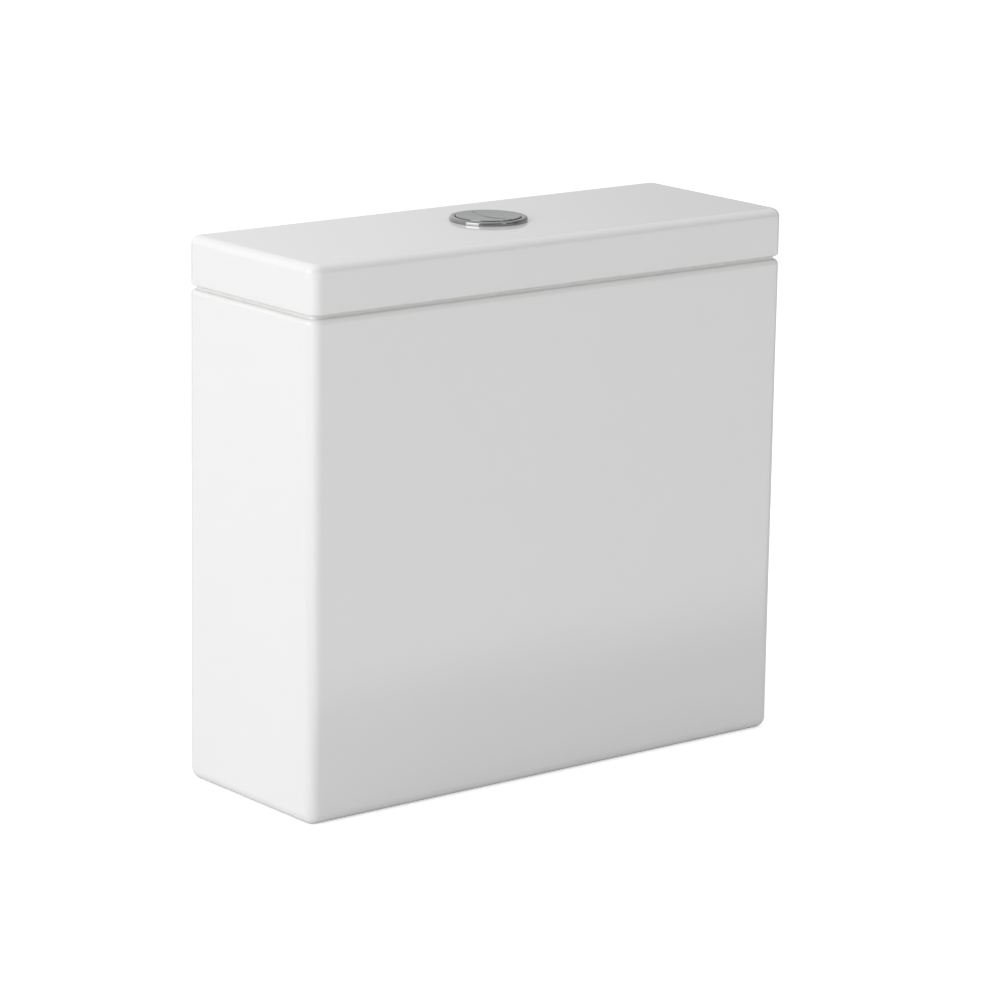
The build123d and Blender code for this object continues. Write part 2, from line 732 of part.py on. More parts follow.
# Fill valve riser: threaded inlet tail, flange on the floor and the pipe to the head
with BuildPart() as fill_riser:
    shank_bottom = skirt_depth - shank_length
    neck_bottom = skirt_depth - fill_nut_height
    fill_flange_low = floor_top + fill_washer_height
    fill_flange_high = fill_flange_low + fill_flange_height
    with BuildSketch(inlet_section):
        with BuildLine():
            Polyline((shank_bore_radius, shank_bottom), (shank_radius, shank_bottom),
                     (shank_radius, neck_bottom), (shank_neck_radius, neck_bottom),
                     (shank_neck_radius, fill_flange_low), (fill_flange_radius, fill_flange_low),
                     (fill_flange_radius, fill_flange_high), (riser_radius, fill_flange_high),
                     (riser_radius, riser_top), (shank_bore_radius, riser_top), close=True)
        make_face()
    revolve(axis=inlet_line)
finish(fill_riser.part, "fill_riser")

with BuildPart() as fill_washer:
    upright_ring(fill_washer_radius, shank_neck_radius + thread_gap, floor_top, fill_flange_low,
                 inlet_axis)
finish(fill_washer.part, "fill_washer")

with BuildPart() as fill_back_nut:
    nut_bottom = skirt_depth - fill_nut_height
    with BuildSketch(Plane.XY.offset(nut_bottom)):
        with Locations(inlet_axis):
            RegularPolygon(fill_nut_across_flats / 2, 6, major_radius=False)
            Circle(shank_neck_radius + thread_gap, mode=Mode.SUBTRACT)
    extrude(amount=fill_nut_height)
finish(fill_back_nut.part, "fill_back_nut")

# Inlet filter: thimble in the mouth of the inlet tail
with BuildPart() as inlet_filter:
    filter_low = shank_bottom + filter_rise
    filter_outer = shank_bore_radius - filter_clearance
    upright_ring(filter_outer, 0, filter_low, filter_low + filter_length, inlet_axis)
    upright_ring(filter_outer - filter_wall, 0, filter_low,
                 filter_low + filter_length - filter_wall, inlet_axis, mode=Mode.SUBTRACT)
finish(inlet_filter.part, "inlet_filter")

# Fill valve head: block on the riser with outlet ports round its side
with BuildPart() as fill_head:
    upright_ring(fill_head_radius, 0, fill_head_bottom, fill_head_top, inlet_axis)
    upright_ring(riser_radius + thread_gap, 0, fill_head_bottom, riser_top, inlet_axis,
                 mode=Mode.SUBTRACT)
    upright_ring(shank_bore_radius, 0, riser_top, fill_head_top, inlet_axis, mode=Mode.SUBTRACT)
    with BuildSketch(Plane.XY.offset(fill_head_bottom)):
        with Locations(inlet_axis):
            with PolarLocations(fill_head_radius, fill_port_count):
                Rectangle(fill_port_width, fill_port_width)
    extrude(amount=fill_port_height, mode=Mode.SUBTRACT)
finish(fill_head.part, "fill_head")

with BuildPart() as fill_diaphragm:
    upright_ring(diaphragm_radius, 0, fill_head_top, cap_bottom, inlet_axis)
finish(fill_diaphragm.part, "fill_diaphragm")

# Fill valve cap: screw cap with the pilot nozzle and the arm's brackets
with BuildPart() as fill_cap:
    arm_bottom = arm_pivot_height - arm_half_thickness
    nozzle_top = arm_bottom - pilot_seal_thickness - contact_gap
    arm_pivot_place = -inlet_axis_left + arm_pivot_offset
    arm_bracket_inner = arm_half_width + slide_gap
    arm_bracket_outer = arm_bracket_inner + arm_bracket_thickness
    upright_ring(cap_radius, 0, cap_bottom, cap_top, inlet_axis)
    upright_ring(cap_radius, fill_head_radius + thread_gap, cap_bottom - cap_skirt_depth,
                 cap_bottom, inlet_axis)
    upright_ring(nozzle_radius, 0, cap_top, nozzle_top, inlet_axis)
    for face in (-1, 1):
        bracket_middle = face * (arm_bracket_inner + arm_bracket_outer) / 2
        with BuildSketch(Plane(origin=(arm_pivot_place, bracket_middle, 0), x_dir=(1, 0, 0),
                               z_dir=(0, -1, 0))):
            with Locations((0, (cap_top + arm_pivot_height) / 2)):
                Rectangle(2 * arm_bracket_half_width, arm_pivot_height - cap_top)
            with Locations((0, arm_pivot_height)):
                Circle(arm_bracket_half_width)
                Circle(arm_pin_radius + pin_gap, mode=Mode.SUBTRACT)
        extrude(amount=arm_bracket_thickness / 2, both=True)
finish(fill_cap.part, "fill_cap")

with BuildPart() as arm_pin:
    with BuildSketch(Plane(origin=(arm_pivot_place, 0, arm_pivot_height), x_dir=(1, 0, 0),
                           z_dir=(0, -1, 0))):
        Circle(arm_pin_radius)
    extrude(amount=arm_bracket_outer + lever_pin_overhang, both=True)
finish(arm_pin.part, "arm_pin")

# Float arm: nose over the pilot nozzle and a fork round the adjusting rod
with BuildPart() as float_arm:
    with BuildSketch(Plane(origin=(arm_pivot_place, 0, arm_pivot_height), x_dir=(1, 0, 0),
                           z_dir=(0, -1, 0))):
        with Locations(((arm_reach - arm_nose) / 2, 0)):
            SlotOverall(arm_reach + arm_nose, 2 * arm_half_thickness)
        Circle(arm_hub_radius)
        Circle(arm_pin_radius + pin_gap, mode=Mode.SUBTRACT)
    extrude(amount=arm_half_width, both=True)
    fork_half = float_rod_radius + contact_gap
    fork_root = float_rod_place[0] - float_rod_radius - 2 * ball_play
    upright_bar(fork_root, float_rod_place[0] + arm_reach, -fork_half, fork_half,
                arm_bottom, arm_pivot_height + arm_half_thickness, mode=Mode.SUBTRACT)
finish(float_arm.part, "float_arm")

with BuildPart() as pilot_seal:
    upright_ring(pilot_seal_radius, 0, arm_bottom - pilot_seal_thickness, arm_bottom, inlet_axis)
finish(pilot_seal.part, "pilot_seal")

# Fill float: upturned cup that slides on the riser
with BuildPart() as fill_float:
    with BuildSketch(Plane.XY.offset(fill_float_bottom)):
        with Locations((fill_float_centre, 0)):
            SlotOverall(fill_float_length, fill_float_width)
    extrude(amount=fill_float_height)
    chamfer(fill_float.faces().sort_by(Axis.Z)[-1].edges(), fill_float_edge)
    with BuildSketch(Plane.XY.offset(fill_float_bottom)):
        with Locations((fill_float_centre, 0)):
            SlotOverall(fill_float_length - 2 * fill_float_wall,
                        fill_float_width - 2 * fill_float_wall)
        with Locations(inlet_axis):
            Circle(riser_radius + slide_gap + fill_float_wall, mode=Mode.SUBTRACT)
        with Locations(float_rod_place):
            Circle(float_rod_radius + fill_float_wall, mode=Mode.SUBTRACT)
    extrude(amount=fill_float_height - 2 * fill_float_wall, mode=Mode.SUBTRACT)
    upright_ring(riser_radius + slide_gap, 0, fill_float_bottom, fill_float_top, inlet_axis,
                 mode=Mode.SUBTRACT)
    upright_ring(float_rod_radius + thread_gap, 0, fill_float_bottom, fill_float_top,
                 float_rod_place, mode=Mode.SUBTRACT)
finish(fill_float.part, "fill_float")

# Adjusting rod: screwed through the float, with a ball under the arm's fork
with BuildPart() as adjusting_rod:
    ball_centre = arm_bottom - ball_play - rod_ball_radius
    knob_centre = arm_pivot_height + arm_half_thickness + knob_play + knob_radius
    rod_top = knob_centre + knob_radius + knob_stem
    with BuildSketch(Plane(origin=(float_rod_place[0], 0, 0), x_dir=(1, 0, 0),
                           z_dir=(0, -1, 0))):
        with Locations((0, (fill_float_bottom + rod_top) / 2)):
            Rectangle(2 * float_rod_radius, rod_top - fill_float_bottom)
        with Locations((0, ball_centre)):
            Circle(rod_ball_radius)
        with Locations((-rod_ball_radius, (fill_float_bottom + rod_top) / 2)):
            Rectangle(2 * rod_ball_radius, rod_top - fill_float_bottom, mode=Mode.SUBTRACT)
    revolve(axis=Axis((float_rod_place[0], 0, 0), (0, 0, 1)))
finish(adjusting_rod.part, "adjusting_rod")

# Adjuster knob: round nut on the rod over the fork
with BuildPart() as adjuster_knob:
    with Locations((float_rod_place[0], 0, knob_centre)):
        Sphere(knob_radius)
    upright_ring(float_rod_radius + thread_gap, 0, knob_centre - knob_radius,
                 knob_centre + knob_radius, float_rod_place, mode=Mode.SUBTRACT)
finish(adjuster_knob.part, "adjuster_knob")
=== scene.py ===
"""Looks of a close-coupled toilet cistern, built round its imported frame.

Lengths are in millimetres until a mesh is finished, and in metres from then on.
The origin is at the middle of the footprint, the front faces -Y and Z points up.
"""

import logging
import math
from collections.abc import Callable, Sequence
from dataclasses import dataclass
from enum import Enum

import bmesh
import bpy
from mathutils import Matrix, Vector, noise


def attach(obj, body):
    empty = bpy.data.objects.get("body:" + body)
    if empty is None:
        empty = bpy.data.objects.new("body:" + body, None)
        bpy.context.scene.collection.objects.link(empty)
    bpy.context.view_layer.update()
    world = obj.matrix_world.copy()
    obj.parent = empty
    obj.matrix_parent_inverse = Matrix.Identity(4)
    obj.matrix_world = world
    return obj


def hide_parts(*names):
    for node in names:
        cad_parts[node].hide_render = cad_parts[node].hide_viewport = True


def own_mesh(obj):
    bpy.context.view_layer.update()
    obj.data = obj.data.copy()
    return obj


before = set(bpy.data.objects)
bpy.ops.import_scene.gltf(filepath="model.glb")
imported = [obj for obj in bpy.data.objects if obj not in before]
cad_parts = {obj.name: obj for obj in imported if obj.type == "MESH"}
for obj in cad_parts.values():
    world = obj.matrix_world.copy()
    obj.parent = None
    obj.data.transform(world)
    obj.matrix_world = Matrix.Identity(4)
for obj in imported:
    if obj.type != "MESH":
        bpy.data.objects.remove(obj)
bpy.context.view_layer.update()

log = logging.getLogger("cistern")

MM = 0.001
Flat = tuple[float, float]
Tone = tuple[float, float, float]
Spot = tuple[float, float, float]
Rings = list[list[Vector]]

# The gap round a pin, the gap round a seated ring, how far one shell sinks into the next, and how
# close two points of a mesh are when they count as one.
PLAY = 0.06
SNUG = 0.15
SUNK = 0.02
WELD = 0.0005
# The rounding of a corner that gives none of its own, and the angles of a quarter round.
SOFT = 0.5
QUARTER = (0, 30, 60, 90)


class Side(Enum):
    """Which part of the flush a piece works: the full one is on the right."""

    FULL = 1
    HALF = -1


class Along(Enum):
    """The direction that a flat outline is thickened in."""

    UP = "up"
    BACK = "back"
    RIGHT = "right"


class NodeSketch:
    """Builds one node tree with few words."""

    def __init__(self, tree: bpy.types.NodeTree) -> None:
        """Starts on an empty tree."""
        self.tree = tree
        self.nodes: dict[str, bpy.types.Node] = {}
        tree.nodes.clear()

    def add(self, name: str, kind: str, settings: dict[str | int, object]) -> None:
        """Adds a node and sets its properties and its unlinked inputs.

        Args:
            name: What the wires call it.
            kind: The node's type name.
            settings: Values by a property's name, or by an input's name or number.
        """
        node = self.nodes[name] = self.tree.nodes.new(kind)
        for key, value in settings.items():
            if isinstance(key, str) and hasattr(node, key):
                setattr(node, key, value)
            else:
                node.inputs[key].default_value = value

    def plain(self, **kinds: str) -> None:
        """Adds nodes that need no settings, each as its name and its type name."""
        for name, kind in kinds.items():
            self.add(name, kind, {})

    def wire(self, *pairs: str) -> None:
        """Joins outputs to inputs.

        Args:
            *pairs: Each is "node.output > node.input", with its sockets by name or number.
        """
        for pair in pairs:
            ends = []
            for end, way in zip(pair.split(" > "), ("outputs", "inputs")):
                name, socket = end.split(".")
                ends.append(getattr(self.nodes[name], way)[int(socket) if socket.isdigit() else socket])
            self.tree.links.new(*ends)

    def sockets(self, way: str, values: dict[str, object]) -> None:
        """Adds named sockets to a group.

        Args:
            way: INPUT or OUTPUT.
            values: The default of each, or its kind as a word where it has none.
        """
        kinds = {float: "Float", int: "Int", tuple: "Color"}
        for name, value in values.items():
            kind = value if isinstance(value, str) else kinds[type(value)]
            made = self.tree.interface.new_socket(name=name, in_out=way, socket_type=f"NodeSocket{kind}")
            if not isinstance(value, str):
                made.default_value = value


def group(name: str, kind: str, draw: Callable[[NodeSketch], None]) -> bpy.types.NodeTree:
    """Gives a node group, drawn on the first call.

    Args:
        name: The group's name.
        kind: ShaderNodeTree or GeometryNodeTree.
        draw: What fills it.

    Returns:
        The group.
    """
    found = bpy.data.node_groups.get(name)
    if found is None:
        found = bpy.data.node_groups.new(name, kind)
        draw(NodeSketch(found))
    return found


def draw_tone(sketch: NodeSketch) -> None:
    """Draws the group that drifts a colour and a gloss over a surface.

    Args:
        sketch: The sketch of the empty group.
    """
    sketch.sockets("INPUT", {"Color": (0.8, 0.8, 0.8, 1), "Second Color": (0.7, 0.7, 0.7, 1),
                             "Scale": 10.0, "Gloss Low": 0.1, "Gloss High": 0.2})
    sketch.sockets("OUTPUT", {"Color": "Color", "Roughness": "Float"})
    sketch.plain(entry="NodeGroupInput", leave="NodeGroupOutput", place="ShaderNodeTexCoord")
    sketch.add("drift", "ShaderNodeTexNoise", {"Detail": 3.0, "Roughness": 0.55})
    sketch.add("smear", "ShaderNodeTexNoise", {"Detail": 4.0, "Roughness": 0.6, "Distortion": 0.6})
    sketch.add("wider", "ShaderNodeMath", {"operation": "MULTIPLY", 1: 2.7})
    sketch.add("mixed", "ShaderNodeMix", {"data_type": "RGBA"})
    sketch.add("gloss", "ShaderNodeMapRange", {"From Min": 0.3, "From Max": 0.7})
    sketch.wire("place.Object > drift.Vector", "place.Object > smear.Vector", "entry.Scale > drift.Scale",
                "entry.Scale > wider.0", "wider.0 > smear.Scale", "drift.Fac > mixed.Factor",
                "entry.Color > mixed.6", "entry.Second Color > mixed.7", "smear.Fac > gloss.Value",
                "entry.Gloss Low > gloss.To Min", "entry.Gloss High > gloss.To Max",
                "mixed.2 > leave.Color", "gloss.Result > leave.Roughness")


def draw_relief(sketch: NodeSketch) -> None:
    """Draws the group that puts a fine relief on a surface: broad waves and small grain.

    Args:
        sketch: The sketch of the empty group.
    """
    sketch.sockets("INPUT", {"Wave Scale": 60.0, "Grain Scale": 900.0, "Grain Share": 0.3,
                             "Strength": 0.2, "Distance": 0.0001})
    sketch.sockets("OUTPUT", {"Normal": "Vector"})
    sketch.plain(entry="NodeGroupInput", leave="NodeGroupOutput", place="ShaderNodeTexCoord",
                 bump="ShaderNodeBump")
    sketch.add("wave", "ShaderNodeTexNoise", {"Detail": 1.0, "Roughness": 0.4})
    sketch.add("grain", "ShaderNodeTexNoise", {"Detail": 3.0, "Roughness": 0.6})
    sketch.add("mixed", "ShaderNodeMix", {"data_type": "FLOAT"})
    sketch.wire("place.Object > wave.Vector", "place.Object > grain.Vector",
                "entry.Wave Scale > wave.Scale", "entry.Grain Scale > grain.Scale",
                "entry.Grain Share > mixed.Factor", "wave.Fac > mixed.2", "grain.Fac > mixed.3",
                "mixed.0 > bump.Height", "entry.Strength > bump.Strength",
                "entry.Distance > bump.Distance", "bump.Normal > leave.Normal")


def draw_repeat(sketch: NodeSketch) -> None:
    """Draws the tree that repeats a seed round an upright axis, each copy a little higher if wanted.

    Args:
        sketch: The sketch of the empty tree.
    """
    sketch.sockets("INPUT", {"Geometry": "Geometry", "Count": 6, "Step": 1.0, "Rise": 0.0,
                             "Place": "Vector", "Material": "Material"})
    sketch.sockets("OUTPUT", {"Geometry": "Geometry"})
    sketch.plain(entry="NodeGroupInput", leave="NodeGroupOutput", index="GeometryNodeInputIndex",
                 spin="ShaderNodeCombineXYZ", spot="ShaderNodeCombineXYZ", points="GeometryNodePoints",
                 copies="GeometryNodeInstanceOnPoints", moved="GeometryNodeTransform",
                 real="GeometryNodeRealizeInstances", painted="GeometryNodeSetMaterial")
    sketch.add("turn", "ShaderNodeMath", {"operation": "MULTIPLY"})
    sketch.add("rise", "ShaderNodeMath", {"operation": "MULTIPLY"})
    sketch.wire("index.0 > turn.0", "entry.Step > turn.1", "index.0 > rise.0", "entry.Rise > rise.1",
                "turn.0 > spin.Z", "rise.0 > spot.Z", "entry.Count > points.Count",
                "spot.0 > points.Position", "points.0 > copies.Points",
                "entry.Geometry > copies.Instance", "spin.0 > copies.Rotation",
                "copies.0 > moved.Geometry", "entry.Place > moved.Translation",
                "moved.0 > real.Geometry", "real.0 > painted.Geometry",
                "entry.Material > painted.Material", "painted.0 > leave.Geometry")


def draw_winding(sketch: NodeSketch) -> None:
    """Draws the tree that winds a bar round an upright axis, as a thread or a spring.

    Args:
        sketch: The sketch of the empty tree.
    """
    sketch.sockets("INPUT", {"Geometry": "Geometry", "Radius": 5.0, "Wire": 0.5, "Turns": 4.0,
                             "Height": 10.0, "Sides": 8, "Turn Steps": 48, "Place": "Vector",
                             "Material": "Material"})
    sketch.sockets("OUTPUT", {"Geometry": "Geometry"})
    sketch.plain(entry="NodeGroupInput", leave="NodeGroupOutput", moved="GeometryNodeTransform",
                 real="GeometryNodeRealizeInstances", painted="GeometryNodeSetMaterial")
    sketch.add("helix", "GeometryNodeCurveSpiral", {"Reverse": True})
    sketch.add("upright", "GeometryNodeSetCurveNormal", {"mode": "Z_UP"})
    sketch.add("section", "GeometryNodeCurvePrimitiveCircle", {"mode": "RADIUS"})
    sketch.add("bar", "GeometryNodeCurveToMesh", {"Fill Caps": True})
    sketch.wire("entry.Turn Steps > helix.Resolution", "entry.Turns > helix.Rotations",
                "entry.Radius > helix.Start Radius", "entry.Radius > helix.End Radius",
                "entry.Height > helix.Height", "entry.Sides > section.Resolution",
                "entry.Wire > section.Radius", "helix.0 > upright.Curve", "upright.0 > bar.Curve",
                "section.0 > bar.Profile Curve", "bar.0 > moved.Geometry",
                "entry.Place > moved.Translation", "moved.0 > real.Geometry",
                "real.0 > painted.Geometry", "entry.Material > painted.Material",
                "painted.0 > leave.Geometry")


def grow(name: str, draw: Callable[[NodeSketch], None], seed: bpy.types.Mesh,
         values: dict[str, object]) -> bpy.types.Mesh:
    """Runs a Geometry Nodes tree once on a seed.

    Args:
        name: The tree's name.
        draw: What draws the tree.
        seed: The mesh that it starts from.
        values: The tree's inputs by name.

    Returns:
        What the tree makes, as a plain mesh.
    """
    tree = group(name, "GeometryNodeTree", draw)
    carrier = bpy.data.objects.new("carrier", seed)
    bpy.context.scene.collection.objects.link(carrier)
    modifier = carrier.modifiers.new("detail", "NODES")
    modifier.node_group = tree
    for item in tree.interface.items_tree:
        if item.item_type == "SOCKET" and item.in_out == "INPUT" and item.name in values:
            modifier[item.identifier] = values[item.name]
    seen = bpy.context.evaluated_depsgraph_get()
    made = bpy.data.meshes.new_from_object(carrier.evaluated_get(seen), depsgraph=seen)
    bpy.data.objects.remove(carrier)
    bpy.data.meshes.remove(seed)
    return made


@dataclass(frozen=True)
class Finish:
    """One finish of the cistern, shaded by its own material.

    The relief is the waves' scale, the grain's scale, the grain's share and the depth in metres.
    """

    name: str
    slot: str
    tone: Tone
    second_tone: Tone
    drift: float = 12.0
    gloss: Flat = (0.12, 0.2)
    relief: tuple[float, float, float, float] = (60.0, 900.0, 0.3, 0.00003)
    relief_strength: float = 0.5
    metallic: float = 0.0
    index: float = 1.5
    sheen: float = 0.0
    glow: float = 0.0
    glow_reach: float = 0.004

    def material(self) -> bpy.types.Material:
        """Gives the finish's material, made on the first call.

        Returns:
            The Blender material.
        """
        made = bpy.data.materials.get(self.name)
        if made:
            return made
        made = bpy.data.materials.new(self.name)
        made.use_nodes = True
        sketch = NodeSketch(made.node_tree)
        sketch.add("shader", "ShaderNodeBsdfPrincipled", {
            "Metallic": self.metallic, "IOR": self.index, "Sheen Weight": self.sheen,
            "Subsurface Weight": self.glow, "Subsurface Radius": (self.glow_reach,) * 3,
            "Subsurface Scale": 0.5})
        sketch.add("tone", "ShaderNodeGroup", {
            "node_tree": group("tone_drift", "ShaderNodeTree", draw_tone), "Color": (*self.tone, 1),
            "Second Color": (*self.second_tone, 1), "Scale": self.drift, "Gloss Low": self.gloss[0],
            "Gloss High": self.gloss[1]})
        sketch.add("relief", "ShaderNodeGroup", {
            "node_tree": group("skin_relief", "ShaderNodeTree", draw_relief),
            "Wave Scale": self.relief[0], "Grain Scale": self.relief[1], "Grain Share": self.relief[2],
            "Distance": self.relief[3], "Strength": self.relief_strength})
        sketch.plain(leave="ShaderNodeOutputMaterial")
        sketch.wire("tone.Color > shader.Base Color", "tone.Roughness > shader.Roughness",
                    "relief.Normal > shader.Normal", "shader.BSDF > leave.Surface")
        return made


def plastic(name: str, tone: Tone, rough: float = 0.32, glow: float = 0.0) -> Finish:
    """Gives a moulded plastic finish.

    Args:
        name: The name of the material and the record's slot.
        tone: The plastic's colour.
        rough: The middle of its roughness.
        glow: How far light sinks in.

    Returns:
        The finish.
    """
    second = tuple(value * 0.93 for value in tone)
    return Finish(name, name, tone, second, 14.0, (rough - 0.06, rough + 0.07),
                  (90.0, 1500.0, 0.55, 0.00002), glow=glow)


def rubber(name: str, tone: Tone) -> Finish:
    """Gives a moulded rubber finish, whose slot has the material's name."""
    second = tuple(value * 0.8 + 0.01 for value in tone)
    return Finish(name, name, tone, second, 30.0, (0.55, 0.72),
                  (200.0, 1800.0, 0.7, 0.00005), 0.7, sheen=0.08)


GLAZE = Finish("white_glaze", "glazed_china", (0.86, 0.862, 0.858), (0.845, 0.848, 0.846), 5.0,
               (0.045, 0.085), (38.0, 420.0, 0.08, 0.00006), 0.35, index=1.52)
BISCUIT = Finish("bare_china", "glazed_china", (0.72, 0.67, 0.59), (0.63, 0.57, 0.49), 40.0,
                 (0.75, 0.92), (300.0, 2200.0, 0.7, 0.00012), 0.8)
# The chrome's tone is much darker than real chrome's. This is painted shade: the darker surroundings that its
# reflections would show are painted into the metal's colour.
DARKENED_CHROME = Finish("chrome_plate", "chrome", (0.32, 0.324, 0.332), (0.285, 0.29, 0.3), 60.0,
                (0.05, 0.11), (120.0, 1600.0, 0.25, 0.00001), 0.3, metallic=1.0)
STEEL = Finish("stainless_steel", "stainless_steel", (0.55, 0.56, 0.57), (0.45, 0.46, 0.48), 80.0,
               (0.18, 0.32), (400.0, 3000.0, 0.6, 0.000015), 0.4, metallic=1.0)
WHITE_PLASTIC = plastic("white_plastic", (0.78, 0.79, 0.78))
NATURAL_PLASTIC = plastic("natural_plastic", (0.66, 0.66, 0.61), 0.28, 0.2)
GREY_PLASTIC = plastic("grey_plastic", (0.2, 0.21, 0.225), 0.42)
BLUE_PLASTIC = plastic("blue_plastic", (0.02, 0.085, 0.3))
GREEN_PLASTIC = plastic("green_plastic", (0.03, 0.22, 0.085))
BLACK_RUBBER = rubber("black_rubber", (0.022, 0.022, 0.023))
GASKET_RUBBER = rubber("gasket_rubber", (0.03, 0.03, 0.031))
RED_SILICONE = rubber("red_silicone", (0.3, 0.03, 0.015))


def even(first: float, last: float, steps: int) -> list[float]:
    """Gives the two ends of a span and the values that part it evenly."""
    return [first + (last - first) * step / steps for step in range(steps + 1)]


def arc(radius: float, first: float, last: float, steps: int, centre: Flat = (0.0, 0.0)) -> list[Flat]:
    """Gives the points of an arc between two angles in degrees, with both its ends."""
    turns = [math.radians(turn) for turn in even(first, last, steps)]
    return [(centre[0] + radius * math.cos(turn), centre[1] + radius * math.sin(turn)) for turn in turns]


def circle(radius: float, centre: Flat = (0.0, 0.0), count: int = 64) -> list[Flat]:
    """Gives the points of a circle."""
    return arc(radius, 0.0, 360.0, count, centre)[:-1]


def block(low: Flat, high: Flat) -> list[Flat]:
    """Gives the corners of a rectangle between two of them."""
    return [low, (high[0], low[1]), high, (low[0], high[1])]


def lift(outline: Sequence[Flat], height: float) -> list[Vector]:
    """Puts a flat outline at a height."""
    return [Vector((x, y, height)) for x, y in outline]


def quarter(corner: Flat, reach: Flat, level_first: bool = False,
            turns: Sequence[float] = QUARTER) -> list[Flat]:
    """Gives a quarter round in place of a sharp corner.

    Args:
        corner: The sharp corner: how far across and how high.
        reach: How far the round goes from it, across and up.
        level_first: Whether the round starts on the level side, and not on the upright one.
        turns: The angles of its points.

    Returns:
        The points, across and up.
    """
    made = []
    for turn in turns:
        near, far = 1 - math.cos(math.radians(turn)), 1 - math.sin(math.radians(turn))
        across, up = (far, near) if level_first else (near, far)
        made.append((corner[0] + reach[0] * across, corner[1] + reach[1] * up))
    return made


def rounded_corners(points: Sequence[Sequence[float]], edge: float, steps: int = 4) -> list[Flat]:
    """Rounds the corners of a closed profile, apart from those on the axis.

    Args:
        points: The corners, each with its own radius as an optional third number.
        edge: The radius of a corner that gives none.
        steps: How many straight pieces a rounded corner has.

    Returns:
        The points of the rounded profile.
    """
    straight = math.pi - 0.02
    longest = 0.48
    made: list[Flat] = []
    for place, corner in enumerate(points):
        here = Vector(corner[:2])
        before = Vector(points[place - 1][:2]) - here
        after = Vector(points[(place + 1) % len(points)][:2]) - here
        wanted = corner[2] if len(corner) > 2 else edge
        sharp = wanted <= 0 or here.x <= 0 or before.length == 0 or after.length == 0
        if sharp or before.angle(after) > straight:
            made.append(tuple(here))
            continue
        slope = math.tan(before.angle(after) / 2)
        reach = min(wanted / slope, longest * before.length, longest * after.length)
        radius = reach * slope
        start = here + before.normalized() * reach
        finish = here + after.normalized() * reach
        inward = (before.normalized() + after.normalized()).normalized()
        middle = here + inward * math.hypot(reach, radius)
        for share in even(0.0, 1.0, steps):
            spoke = (start - middle).lerp(finish - middle, share)
            made.append(tuple(middle + spoke.normalized() * radius))
    return made


def round_box(half_width: float, half_depth: float, radius: float, corner: int = 10,
              pieces: tuple[int, int] = (1, 1), centre: Flat = (0.0, 0.0)) -> list[Flat]:
    """Gives the points of a rectangle with round corners.

    Args:
        half_width: Half its size along the first direction.
        half_depth: Half its size along the second direction.
        radius: The corners' radius.
        corner: How many straight pieces a corner has.
        pieces: How many straight pieces a long side and a short side have.
        centre: The rectangle's middle.

    Returns:
        The points, in order round the rectangle.
    """
    arcs = []
    for right, far, first in ((1, -1, -90), (1, 1, 0), (-1, 1, 90), (-1, -1, 180)):
        hub = (centre[0] + right * (half_width - radius), centre[1] + far * (half_depth - radius))
        arcs.append(arc(radius, first, first + 90, corner, hub))
    made: list[Flat] = []
    for place, points in enumerate(arcs):
        start, goal = points[-1], arcs[(place + 1) % 4][0]
        count = pieces[(place + 1) % 2]
        made += points
        made += zip(even(start[0], goal[0], count)[1:-1], even(start[1], goal[1], count)[1:-1])
    return made


def slot_outline(left: float, right: float, radius: float, steps: int = 12) -> list[Flat]:
    """Gives a bar's outline with round ends, between two centres on the first direction."""
    return arc(radius, -90, 90, steps, (right, 0.0)) + arc(radius, 90, 270, steps, (left, 0.0))


def sector(inner: float, outer: float, middle: float, sweep: float, steps: int = 16,
           centre: Flat = (0.0, 0.0)) -> list[Flat]:
    """Gives the outline of a piece of a flat ring.

    Args:
        inner: The inner radius.
        outer: The outer radius.
        middle: The direction of its middle, in degrees.
        sweep: Its angle, in degrees.
        steps: How many straight pieces each arc has.
        centre: The ring's axis.

    Returns:
        The points, in order.
    """
    ends = (middle - sweep / 2, middle + sweep / 2)
    return arc(outer, *ends, steps, centre) + arc(inner, *ends, steps, centre)[::-1]


def eye(place: float, foot: float, top: float, half: float, steps: int = 14) -> list[Flat]:
    """Gives the outline of an upright lug with a round top.

    Args:
        place: Where its middle is on the first direction.
        foot: The height that it starts at.
        top: The height of the round's centre.
        half: Half its width.
        steps: How many straight pieces the round has.

    Returns:
        The points, in order.
    """
    return [(place - half, foot), (place + half, foot), *arc(half, 0, 180, steps, (place, top))]


